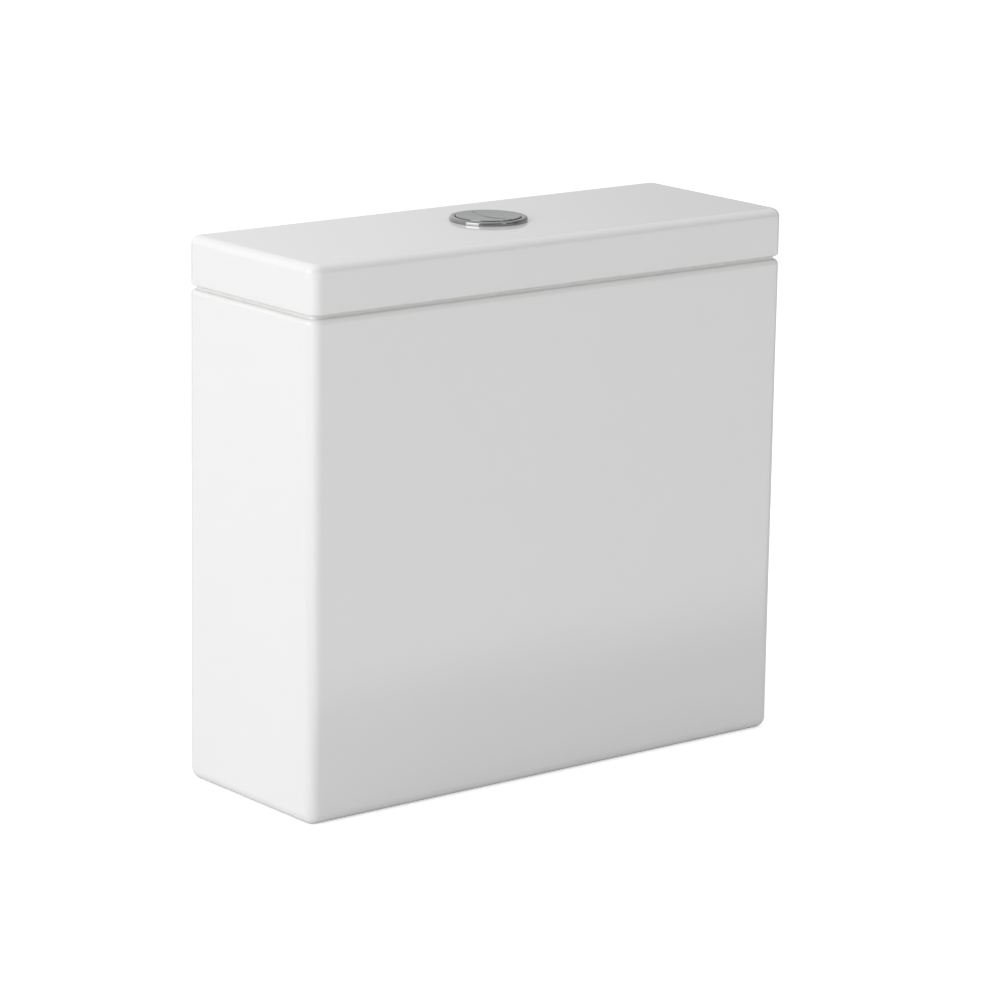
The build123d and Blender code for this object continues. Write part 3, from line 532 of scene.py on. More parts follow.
class Shape:
    """Collects closed shells, in millimetres, and turns them into one finished piece."""

    def __init__(self, axis: Flat = (0.0, 0.0), facets: int = 96) -> None:
        """Starts with an empty mesh.

        Args:
            axis: Where the upright axis of its round parts stands.
            facets: How many straight pieces a full turn has.
        """
        self.mesh = bmesh.new()
        self.axis = axis
        self.facets = facets

    def skin(self, rings: Sequence[Sequence[Vector]], wrap: bool = False,
             paint: int = 0) -> list[list[bmesh.types.BMVert]]:
        """Joins rings of points by faces. A ring of one point is a pole.

        Args:
            rings: The rings, with as many points each.
            wrap: Whether the last ring joins the first.
            paint: The material's place in the piece.

        Returns:
            The new vertices, ring by ring.
        """
        made = [[self.mesh.verts.new(point) for point in ring] for ring in rings]
        for low, high in zip(made, made[1:] + (made[:1] if wrap else [])):
            count = max(len(low), len(high))
            for step in range(count):
                following = (step + 1) % count
                corners = [low[step % len(low)], low[following % len(low)],
                           high[following % len(high)], high[step % len(high)]]
                face = self.mesh.faces.new(list(dict.fromkeys(corners)))
                face.material_index = paint
        return made

    def fill(self, *loops: Sequence[bmesh.types.BMVert], paint: int = 0, plain: bool = False) -> None:
        """Closes a flat area between its outer loop and its holes.

        Args:
            *loops: The loops of vertices that bound the area.
            paint: The material's place in the piece.
            plain: Whether the triangles are joined into large faces, which a bevel needs.
        """
        if len(loops) == 1:
            self.mesh.faces.new(loops[0]).material_index = paint
            return
        edges = []
        for loop in loops:
            for ends in zip(loop, list(loop[1:]) + [loop[0]]):
                edges.append(self.mesh.edges.get(ends) or self.mesh.edges.new(ends))
        made = bmesh.ops.triangle_fill(self.mesh, use_beauty=True, edges=edges)["geom"]
        for item in made:
            if isinstance(item, bmesh.types.BMFace):
                item.material_index = paint
        if plain:
            inner = [item for item in made if isinstance(item, bmesh.types.BMEdge) and item not in edges]
            bmesh.ops.dissolve_limit(self.mesh, angle_limit=0.01, edges=inner)

    def lathe(self, *corners: Sequence[float], axis: Flat | None = None, edge: float = SOFT,
              segments: int = 0) -> None:
        """Turns a closed profile of radius and height round an upright axis.

        Args:
            *corners: The corners, each with its own rounding as an optional third number.
            axis: Where the axis stands, if not at the shape's own.
            edge: The rounding of a corner that gives none.
            segments: How many straight pieces the turn has, if not the shape's own number.
        """
        points = rounded_corners(corners, edge)
        solid = any(radius <= 0 for radius, _ in points)
        if solid:
            first = next(place for place in range(len(points))
                         if points[place][0] <= 0 and points[place - 1][0] <= 0)
            points = points[first:] + points[:first]
        centre = axis or self.axis
        rings = [lift(circle(radius, centre, segments or self.facets) if radius > 0 else [centre], height)
                 for radius, height in points]
        self.skin(rings, wrap=not solid)

    def collar(self, radii: Flat, span: Flat, edges: Sequence[float] = (SOFT,) * 4,
               axis: Flat | None = None, segments: int = 0) -> None:
        """Turns a plain ring, or a disc where its inner radius is zero.

        Args:
            radii: The inner and outer radius.
            span: Its lowest and highest level.
            edges: The rounding at the inner low, outer low, outer high and inner high corner.
            axis: Where the axis stands, if not at the shape's own.
            segments: How many straight pieces the turn has, if not the shape's own number.
        """
        corners = zip(block((radii[0], span[0]), (radii[1], span[1])), edges)
        self.lathe(*((*corner, edge) for corner, edge in corners), axis=axis, segments=segments)

    def prism(self, outline: Sequence[Flat], low: float, high: float,
              holes: Sequence[Sequence[Flat]] = (), along: Along = Along.UP) -> None:
        """Thickens a flat outline between two places.

        Args:
            outline: The outer points: x and y, or x and z, or y and z, by the direction.
            low: Where the solid starts along the direction.
            high: Where it ends.
            holes: Outlines that go through it.
            along: The direction that it is thickened in.
        """
        places = {Along.UP: lambda x, y, level: (x, y, level), Along.BACK: lambda x, z, level: (x, level, z),
                  Along.RIGHT: lambda y, z, level: (level, y, z)}
        place = places[along]
        sides = [self.skin([[Vector(place(*point, level)) for point in loop] for level in (low, high)])
                 for loop in (outline, *holes)]
        for end in (0, 1):
            self.fill(*(side[end] for side in sides), plain=True)

    def pierced_wall(self, radii: Flat, span: Flat, openings: Sequence[Sequence[float]],
                     finest: float = 5.0) -> None:
        """Adds a round wall with openings through it.

        Args:
            radii: The inner and outer radius.
            span: Its lowest and highest level.
            openings: The middle angle, half angle, bottom and top of each opening, in degrees.
            finest: The largest angle of a straight piece, in degrees.
        """
        marks = sorted({0.0, 360.0, *((middle + way * half) % 360 for middle, half, _, _ in openings
                                      for way in (-1, 1))})
        turns = [turn for start, end in zip(marks, marks[1:])
                 for turn in even(start, end, max(1, math.ceil((end - start) / finest)))[:-1]] + [360.0]
        heights = sorted({*span, *(level for opening in openings for level in opening[2:])})
        around = len(turns) - 1
        grid = {}
        for face, radius in enumerate(radii):
            for place, turn in enumerate(turns[:-1]):
                angle = math.radians(turn)
                x, y = self.axis[0] + radius * math.cos(angle), self.axis[1] + radius * math.sin(angle)
                for row, height in enumerate(heights):
                    grid[face, place, row] = self.mesh.verts.new((x, y, height))

        def is_open(place: int, row: int) -> bool:
            """Tells whether a cell of the wall is missing.

            Args:
                place: The cell's place round the wall.
                row: Its row, from below.

            Returns:
                Whether it is missing, or beyond the wall's ends.
            """
            if not 0 <= row < len(heights) - 1:
                return True
            place %= around
            angle = (turns[place] + turns[place + 1]) / 2
            height = (heights[row] + heights[row + 1]) / 2
            return any(abs((angle - middle + 180) % 360 - 180) < half and low < height < high
                       for middle, half, low, high in openings)

        for place in range(around):
            after = (place + 1) % around
            for row in range(len(heights) - 1):
                if is_open(place, row):
                    continue
                for face in (0, 1):
                    self.mesh.faces.new([grid[face, place, row], grid[face, after, row],
                                         grid[face, after, row + 1], grid[face, place, row + 1]])
                borders = ((place - 1, row, (place, row), (place, row + 1)),
                           (place + 1, row, (after, row), (after, row + 1)),
                           (place, row - 1, (place, row), (after, row)),
                           (place, row + 1, (place, row + 1), (after, row + 1)))
                for next_place, next_row, one, other in borders:
                    if is_open(next_place, next_row):
                        self.mesh.faces.new([grid[0, *one], grid[0, *other], grid[1, *other], grid[1, *one]])
        for vert in [vert for vert in grid.values() if not vert.link_faces]:
            self.mesh.verts.remove(vert)

    def take(self, data: bpy.types.Mesh) -> None:
        """Takes a mesh in millimetres into the shape and drops it."""
        self.mesh.from_mesh(data)
        bpy.data.meshes.remove(data)

    def ribs(self, count: int, outline: Sequence[Flat], low: float, high: float, along: Along = Along.UP,
             axis: Flat | None = None, rise: float = 0.0, step: float | None = None,
             start: float = 0.0) -> None:
        """Thickens an outline, built with the axis at the origin, and repeats it round the axis.

        Args:
            count: How many copies there are.
            outline: The outer points, by the direction.
            low: Where the solid starts along the direction.
            high: Where it ends.
            along: The direction that it is thickened in.
            axis: Where the axis stands, if not at the shape's own.
            rise: How much higher each copy is.
            step: The angle between copies in degrees, or nothing for a full ring.
            start: The first copy's angle in degrees.
        """
        seed = Shape()
        seed.prism(outline, low, high, along=along)
        bmesh.ops.rotate(seed.mesh, verts=seed.mesh.verts,
                         matrix=Matrix.Rotation(math.radians(start), 3, "Z"))
        data = bpy.data.meshes.new("seed")
        seed.mesh.to_mesh(data)
        seed.mesh.free()
        turn = math.radians(360 / count if step is None else step)
        values = {"Count": count, "Step": turn, "Rise": rise, "Place": (*(axis or self.axis), 0.0)}
        self.take(grow("repeat_round", draw_repeat, data, values))

    def wind(self, radius: float, wire: float, low: float, high: float, pitch: float, sides: int = 4,
             steps: int = 40) -> None:
        """Winds a thread or a spring round the shape's axis.

        Args:
            radius: The radius of the bar's middle.
            wire: The bar's own radius.
            low: Where it starts.
            high: Where it ends.
            pitch: How much it climbs in a turn.
            sides: How many sides the bar has: four make a thread.
            steps: How many straight pieces a turn has.
        """
        values = {"Radius": radius, "Wire": wire, "Turns": (high - low) / pitch, "Height": high - low,
                  "Sides": sides, "Turn Steps": steps, "Place": (*self.axis, low)}
        self.take(grow("wound_bar", draw_winding, bpy.data.meshes.new("seed"), values))

    def finish(self, name: str, body: str, node: str, *finishes: Finish,
               bevel: float = 0.0) -> bpy.types.Object:
        """Turns the shells into a finished piece that rides on its body, and logs it.

        Args:
            name: The piece's name.
            body: The body that it moves with.
            node: The node that it stands for.
            *finishes: Its finishes, by the faces' material places.
            bevel: The rounding of its sharp edges.

        Returns:
            The piece, as a plain mesh.
        """
        bmesh.ops.remove_doubles(self.mesh, verts=self.mesh.verts, dist=WELD)
        bmesh.ops.recalc_face_normals(self.mesh, faces=self.mesh.faces)
        bmesh.ops.scale(self.mesh, vec=(MM, MM, MM), verts=self.mesh.verts)
        data = bpy.data.meshes.new(name)
        self.mesh.to_mesh(data)
        self.mesh.free()
        piece = bpy.data.objects.new(name, data)
        bpy.context.scene.collection.objects.link(piece)
        for finish in finishes:
            data.materials.append(finish.material())
        data.shade_smooth()
        if bevel > 0:
            rounding = piece.modifiers.new("rounding", "BEVEL")
            rounding.width = bevel * MM
            rounding.segments = 3
            rounding.limit_method = "ANGLE"
            rounding.angle_limit = math.radians(32)
            rounding.miter_outer = "MITER_ARC"
            rounding.use_clamp_overlap = True
        weighting = piece.modifiers.new("flat_faces", "WEIGHTED_NORMAL")
        weighting.mode = "FACE_AREA_WITH_ANGLE"
        weighting.weight = 60
        seen = bpy.context.evaluated_depsgraph_get()
        plain = bpy.data.meshes.new_from_object(piece.evaluated_get(seen), depsgraph=seen,
                                                preserve_all_data_layers=True)
        piece.modifiers.clear()
        piece.data = plain
        plain.name = piece.name
        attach(piece, body)
        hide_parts(node)
        log.info("%s on %s: %d faces", piece.name, body, len(plain.polygons))
        return piece


@dataclass
class China:
    """The glazed tank and its lid."""

    width: float = 400.0
    depth: float = 140.0
    height: float = 370.0
    seam: float = 337.0
    wall: float = 11.0
    corner: float = 8.5
    inside_corner: float = 6.0
    base_edge: float = 7.5
    neck_inset: float = 3.2
    neck_height: float = 2.4
    shoulder_rise: float = 3.4
    lid_edge: float = 6.0
    seam_edge: float = 2.0
    skirt: float = 30.0
    floor: float = 42.0
    floor_edge: float = 5.0
    soft_edge: float = 1.5
    lid_under: float = 359.0
    lip_low: float = 328.0
    lip_inset: float = 13.5
    pocket_inset: float = 21.0
    pocket_corner: float = 5.0
    top_corner: float = 3.0
    axis_back: float = 4.5
    flush_hole: float = 33.0
    lid_hole: float = 24.2
    inlet_left: float = 150.0
    inlet_hole: float = 12.5
    bolt_side: float = 75.0
    bolt_hole: float = 7.0
    level_step: float = 11.0
    waviness: float = 0.16
    wave_from: float = 0.985
    least_corner: float = 0.6
    hole_edge: float = 0.6
    wave_size: Spot = (85.0, 60.0, 70.0)
    tank_seed: float = 3.7
    lid_seed: float = 9.1
    top_insets: tuple[float, ...] = (8.0, 14.0, 22.0, 30.0)
    lip_levels: Flat = (3.0, 6.0)

    def ring(self, height: float, inset: float, radius: float) -> list[Vector]:
        """Gives one level of the china's skin.

        Args:
            height: The level.
            inset: How far it lies inside the outer faces.
            radius: Its corner radius.

        Returns:
            The points, as many at every level.
        """
        corner = max(radius, self.least_corner)
        outline = round_box(self.width / 2 - inset, self.depth / 2 - inset, corner, 10, (36, 12))
        return lift(outline, height)

    def bend(self, corner: Flat, reach: Flat, radius: float, level_first: bool = False,
             turns: Sequence[float] = QUARTER, follows: bool = False) -> Rings:
        """Gives the levels of a quarter round between a level face and an upright one.

        Args:
            corner: The inset and height where the faces would meet.
            reach: How far the round goes from there, in inset and height.
            radius: The corner radius of the levels.
            level_first: Whether the round starts on the level face.
            turns: The angles of the levels.
            follows: Whether the corner radius gets smaller as the inset grows.

        Returns:
            The levels.
        """
        return [self.ring(height, inset, radius - (inset - corner[0] if follows else 0.0))
                for inset, height in quarter(corner, reach, level_first, turns)]

    def face(self, low: float, high: float, inset: float, radius: float) -> Rings:
        """Gives the levels of an upright face, with one close to each end.

        Args:
            low: The height that it starts at.
            high: The height that it ends at.
            inset: How far it lies inside the outer faces.
            radius: Its corner radius.

        Returns:
            The levels.
        """
        count = max(2, round(abs(high - low) / self.level_step))
        near = (high - low) / count * 0.25
        levels = [low + near, *even(low, high, count)[1:-1], high - near]
        return [self.ring(level, inset, radius) for level in levels]

    def hole(self, shape: Shape, centre: Flat, radius: float, low: float, high: float, paint: int,
             count: int) -> tuple[list, list]:
        """Makes a hole's wall with rounded edges.

        Args:
            shape: The china's shape.
            centre: The hole's axis.
            radius: The hole's radius.
            low: The lower face.
            high: The upper face.
            paint: The material's place.
            count: How many straight pieces it has.

        Returns:
            The lower and the upper loop of vertices.
        """
        soft = self.soft_edge * self.hole_edge
        turns = range(0, 91, 18)
        stations = (quarter((radius, low), (soft, soft), True, turns)
                    + quarter((radius, high), (soft, -soft), False, turns))
        made = shape.skin([lift(circle(spread, centre, count), height) for spread, height in stations],
                          paint=paint)
        return made[0], made[-1]

    def settle_waves(self, shape: Shape, seed: float) -> None:
        """Gives the fired china its slight unevenness, away from the faces that seat.

        Args:
            shape: The china's shape.
            seed: Where the noise is read.
        """
        bmesh.ops.remove_doubles(shape.mesh, verts=shape.mesh.verts[:], dist=WELD)
        shape.mesh.normal_update()
        long, deep, tall = self.wave_size
        moves = []
        for vert in shape.mesh.verts:
            spot = vert.co
            wave = noise.noise(Vector((spot.x / long + seed, spot.y / deep, spot.z / tall)))
            outward = max(abs(spot.x) / (self.width / 2), abs(spot.y) / (self.depth / 2))
            if outward > self.wave_from:
                moves.append((vert, vert.normal * wave * self.waviness))
        for vert, move in moves:
            vert.co += move

    def tank(self) -> None:
        """Makes the tank, bare below and glazed from its lower edge on."""
        shape = Shape()
        soft, inner, wall, edge = self.soft_edge, self.inside_corner, self.wall, self.floor_edge
        neck = self.seam - self.neck_height
        rows = [self.ring(self.skirt, wall + soft, inner - soft)]
        rows += self.bend((wall, self.skirt), (soft, -soft), inner, True, QUARTER[1:])
        rows += self.face(self.skirt - soft, soft, wall, inner)
        rows += self.bend((wall, 0.0), (-soft, soft), inner)
        glazed_from = len(rows) + 2
        rows += self.bend((0.0, 0.0), (self.base_edge,) * 2, self.corner, False, even(90, 0, 12), True)
        rows += self.face(self.base_edge, neck - self.shoulder_rise, 0, self.corner)
        rows += self.bend((0.0, neck), (self.neck_inset, -self.shoulder_rise), self.corner, False,
                          range(0, 91, 10), True)
        notch = ((neck + 0.1, 0.25), (neck + 0.5, 0.4), (self.seam - 0.5, 0.4), (self.seam - 0.15, 0.55),
                 (self.seam, 0.9))
        rows += [self.ring(level, self.neck_inset + inset, self.corner - self.neck_inset - inset)
                 for level, inset in notch]
        rows += self.bend((wall, self.seam), (-soft, -soft), inner, True)
        rows += self.face(self.seam - soft, self.floor + edge, wall, inner)
        rows += self.bend((wall, self.floor), (edge, edge), inner, False, range(0, 91, 15), True)
        made = shape.skin(rows[:glazed_from + 1], paint=1)
        rest = shape.skin(rows[glazed_from:])
        floors, ceilings = [rest[-1]], [made[0]]
        places = (((0.0, self.axis_back), self.flush_hole, 96),
                  ((-self.inlet_left, 0.0), self.inlet_hole, 48),
                  ((-self.bolt_side, self.axis_back), self.bolt_hole, 32),
                  ((self.bolt_side, self.axis_back), self.bolt_hole, 32))
        for centre, radius, count in places:
            low, high = self.hole(shape, centre, radius, self.skirt, self.floor, 1, count)
            ceilings.append(low)
            floors.append(high)
        shape.fill(*floors)
        shape.fill(*ceilings, paint=1)
        self.settle_waves(shape, self.tank_seed)
        shape.finish("tank_china", "cistern", "cistern_body", GLAZE, BISCUIT)

    def lid(self) -> None:
        """Makes the lid, bare below and glazed from its lower edge on."""
        shape = Shape()
        soft, pocket, inner, edge = self.soft_edge, self.pocket_corner, self.inside_corner, self.seam_edge
        rows = self.bend((self.pocket_inset, self.lid_under), (2 * soft, -2 * soft), pocket, True)
        rows += self.face(self.lid_under - 2 * soft, self.lip_low + soft, self.pocket_inset, pocket)
        rows += self.bend((self.pocket_inset, self.lip_low), (-soft, soft), pocket)
        rows += self.bend((self.lip_inset, self.lip_low), (soft, soft), inner, True)
        lip = [*(self.lip_low + rise for rise in self.lip_levels), self.seam]
        rows += [self.ring(level, self.lip_inset, inner) for level in lip]
        bare = len(rows)
        rows += self.bend((0.0, self.seam), (edge, edge), self.corner, False, even(90, 0, 6), True)
        rows += self.face(self.seam + edge, self.height - self.lid_edge, 0, self.corner)
        rows += self.bend((0.0, self.height), (self.lid_edge, -self.lid_edge), self.corner, False,
                          even(0, 90, 12), True)
        rows += [self.ring(self.height, inset, self.top_corner) for inset in self.top_insets]
        made = shape.skin(rows[:bare + 1], paint=1)
        rest = shape.skin(rows[bare:])
        low, high = self.hole(shape, (0.0, self.axis_back), self.lid_hole, self.lid_under, self.height, 0, 96)
        shape.fill(rest[-1], high)
        shape.fill(made[0], low, paint=1)
        self.settle_waves(shape, self.lid_seed)
        shape.finish("lid_china", "lid", "cistern_lid", GLAZE, BISCUIT)


@dataclass
class PushButton:
    """The chrome button set in the lid, with its rods and springs."""

    axis: Flat = (0.0, 4.5)
    lid_top: float = 370.0
    lid_under: float = 359.0
    bezel: float = 26.5
    bezel_top: float = 372.8
    barrel: float = 23.7
    bore: float = 22.4
    barrel_low: float = 338.0
    nut: float = 30.0
    nut_neck: float = 28.0
    nut_step: float = 2.5
    nut_low: float = 352.0
    cap: float = 22.0
    cap_top: float = 373.4
    cap_edge: float = 0.5
    plate_low: float = 370.9
    skirt_low: float = 358.9
    skirt_wall: float = 1.6
    boss: float = 4.6
    boss_low: float = 360.9
    split_centre: float = 30.0
    split_radius: float = 34.0
    split_gap: float = 0.4
    dish: float = 0.35
    rod_side: float = 13.0
    rod: float = 2.5
    rod_low: float = 281.3
    rod_top: float = 368.9
    guide: float = 4.4
    guide_bore: float = 2.9
    guide_low: float = 329.0
    housing: float = 22.25
    housing_wall: float = 1.3
    housing_floor: float = 340.5
    housing_top: float = 345.5
    coil: float = 5.6
    wire: float = 0.45
    travel: float = 7.0
    thread_depth: float = 0.4
    thread_pitch: float = 2.0
    cap_middle: float = 12.0
    cap_corner: float = 0.3

    def rod_axis(self, side: Side) -> Flat:
        """Gives the axis of one side's push rod."""
        return (side.value * self.rod_side, self.axis[1])

    def build_bezel(self) -> None:
        """Makes the chrome bezel with its threaded barrel, and the ring nut under the lid."""
        bezel = Shape(self.axis, 160)
        bezel.lathe((self.bore, self.barrel_low, 0.3), (self.barrel, self.barrel_low, 0.5),
                    (self.barrel, self.lid_top, 0.05), (self.bezel, self.lid_top, 0.25),
                    (self.bezel, self.bezel_top, 1.5), (self.bore, self.bezel_top, 0.7))
        bezel.wind(self.barrel, self.thread_depth, self.barrel_low + 1.2, self.nut_low - 0.8,
                   self.thread_pitch)
        bezel.finish("button_ring", "lid", "button_bezel", DARKENED_CHROME)
        nut = Shape(self.axis)
        low, high, step = self.nut_low, self.lid_under, self.lid_under - self.nut_step
        bore = self.barrel + SNUG
        nut.lathe((bore, low, 0.4), (self.nut_neck, low, 0.5), (self.nut_neck, step, 0.3),
                  (self.nut, step, 0.4), (self.nut, high, 0.3), (bore, high, 0.3))
        nut.ribs(6, round_box(3.4, 3.5, 0.9, 4, centre=(self.nut - 0.4, 0.0)), low + 0.2, high - 0.2)
        nut.ribs(36, round_box(1.2, 0.5, 0.3, 3, centre=(self.nut_neck, 0.0)), low + 0.4, high - 1.2)
        nut.finish("ring_nut", "lid", "bezel_nut", GREY_PLASTIC, bevel=0.2)

    def build_housing(self) -> None:
        """Makes the cup that guides the rods."""
        cup = Shape(self.axis)
        low = self.barrel_low
        holes = [circle(self.guide_bore, self.rod_axis(side), 32) for side in Side]
        cup.prism(circle(self.housing - 0.2, self.axis, 96), low, self.housing_floor, holes)
        cup.collar((self.housing - self.housing_wall, self.housing), (low + 0.3, self.housing_top),
                   (0.1, 0.2, 0.3, 0.3))
        fin = [(self.guide - 0.3, low + 0.1), (self.guide - 0.3, low - 6.0), (self.guide + 3.2, low + 0.1)]
        for side in Side:
            axis = self.rod_axis(side)
            cup.collar((self.guide_bore, self.guide), (self.guide_low, low + 0.2), (0.3, 0.4, 0.1, 0.1),
                       axis, 40)
            cup.ribs(4, fin, -0.6, 0.6, Along.BACK, axis, start=45.0)
        cup.finish("rod_housing", "lid", "button_housing", WHITE_PLASTIC, bevel=0.15)

    def cap_outline(self, side: Side, steps: int = 40) -> list[Flat]:
        """Gives the outline of one part of the split cap.

        Args:
            side: Which part.
            steps: How many straight pieces each arc has.

        Returns:
            The points, in order.
        """
        split = self.split_radius - side.value * self.split_gap / 2
        across = (self.cap ** 2 - split ** 2 + self.split_centre ** 2) / (2 * self.split_centre)
        half_turn = math.acos(across / self.cap)
        spread = math.degrees(math.asin(self.cap * math.sin(half_turn) / split))
        half_turn = math.degrees(half_turn)
        hub = (self.axis[0] + self.split_centre, self.axis[1])
        inner = arc(split, 180 - spread, 180 + spread, steps, hub)[1:-1]
        if side is Side.FULL:
            return arc(self.cap, -half_turn, half_turn, steps, self.axis) + inner
        return arc(self.cap, half_turn, 360 - half_turn, steps, self.axis) + inner[::-1]

    def build_cap(self, side: Side) -> None:
        """Makes one part of the split cap.

        Args:
            side: Which part.
        """
        cap = Shape(self.rod_axis(side))
        outline = self.cap_outline(side)
        middle = Vector((side.value * self.cap_middle + self.axis[0], self.axis[1]))
        count = len(outline)
        edge, top, plate = self.cap_edge, self.cap_top, self.plate_low

        def level(share: float, inset: float, height: float, dished: bool = False) -> list[Vector]:
            """Gives the outline at a level, drawn in towards its middle.

            Args:
                share: How far the points stay from the middle.
                inset: How far they move square to the outline first.
                height: The level.
                dished: Whether the level sinks towards the axis.

            Returns:
                The points.
            """
            made = []
            for place, point in enumerate(outline):
                ahead = Vector(outline[(place + 1) % count]) - Vector(outline[place - 1])
                inward = Vector((-ahead.y, ahead.x)).normalized() * inset
                spot = middle + (Vector(point) + inward - middle) * share
                from_axis = (spot - Vector(self.axis)).length / self.cap
                sunk = self.dish * max(0.0, 1 - from_axis ** 2) if dished else 0.0
                made.append(Vector((spot.x, spot.y, height - sunk)))
            return made

        rows = [level(1.0, self.cap_corner, plate), level(1.0, 0.0, plate + self.cap_corner)]
        rows += [level(1.0, inset, height)
                 for inset, height in quarter((0.0, top), (edge, -edge), False, (0, 22, 45, 68, 90))]
        rows += [level(share, edge, top, True) for share in (0.97, 0.9, 0.75, 0.6, 0.45, 0.3, 0.15)]
        made = cap.skin(rows)
        pole = cap.mesh.verts.new((middle.x, middle.y, made[-1][0].co.z - 0.01))
        for place in range(count):
            cap.mesh.faces.new([made[-1][place], made[-1][(place + 1) % count], pole])
        cap.fill(made[0])
        middle_turn, sweep = (0.0, 146.0) if side is Side.FULL else (180.0, 194.0)
        skirt = sector(self.cap - self.skirt_wall, self.cap - 0.05, middle_turn, sweep, 36, self.axis)
        cap.prism(skirt, self.skirt_low, plate + 0.5)
        cap.collar((self.rod + SNUG, self.boss), (self.boss_low, plate + 0.4), (0.3, 0.4, 0.1, 0.1),
                   segments=40)
        name = side.name.lower()
        cap.finish(f"{name}_button_cap", f"{name}_button", f"{name}_flush_button", DARKENED_CHROME)

    def build_rod(self, side: Side) -> None:
        """Makes one threaded push rod and its spring.

        Args:
            side: Which button it belongs to.
        """
        name = side.name.lower()
        axis = self.rod_axis(side)
        rod = Shape(axis, 32)
        rod.lathe((0.0, self.rod_low), (1.3, self.rod_low, 0.1), (self.rod, self.rod_low + 1.4, 1.2),
                  (self.rod, self.rod_top, 0.5), (0.0, self.rod_top))
        rod.wind(self.rod, 0.22, self.rod_low + 22.0, self.rod_top - 0.8, 1.25, steps=24)
        rod.finish(f"{name}_rod", f"{name}_button", f"{name}_push_rod", NATURAL_PLASTIC)
        spring = Shape(axis)
        low, high = self.housing_floor + self.wire, self.boss_low - self.wire
        spring.wind(self.coil, self.wire, low, high, (high - low) / 4, sides=10, steps=36)
        piece = spring.finish(f"{name}_spring", "lid", f"{name}_return_spring", STEEL)
        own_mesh(piece)

    def build(self) -> None:
        """Makes the whole button set."""
        self.build_bezel()
        self.build_housing()
        for side in Side:
            self.build_cap(side)
            self.build_rod(side)


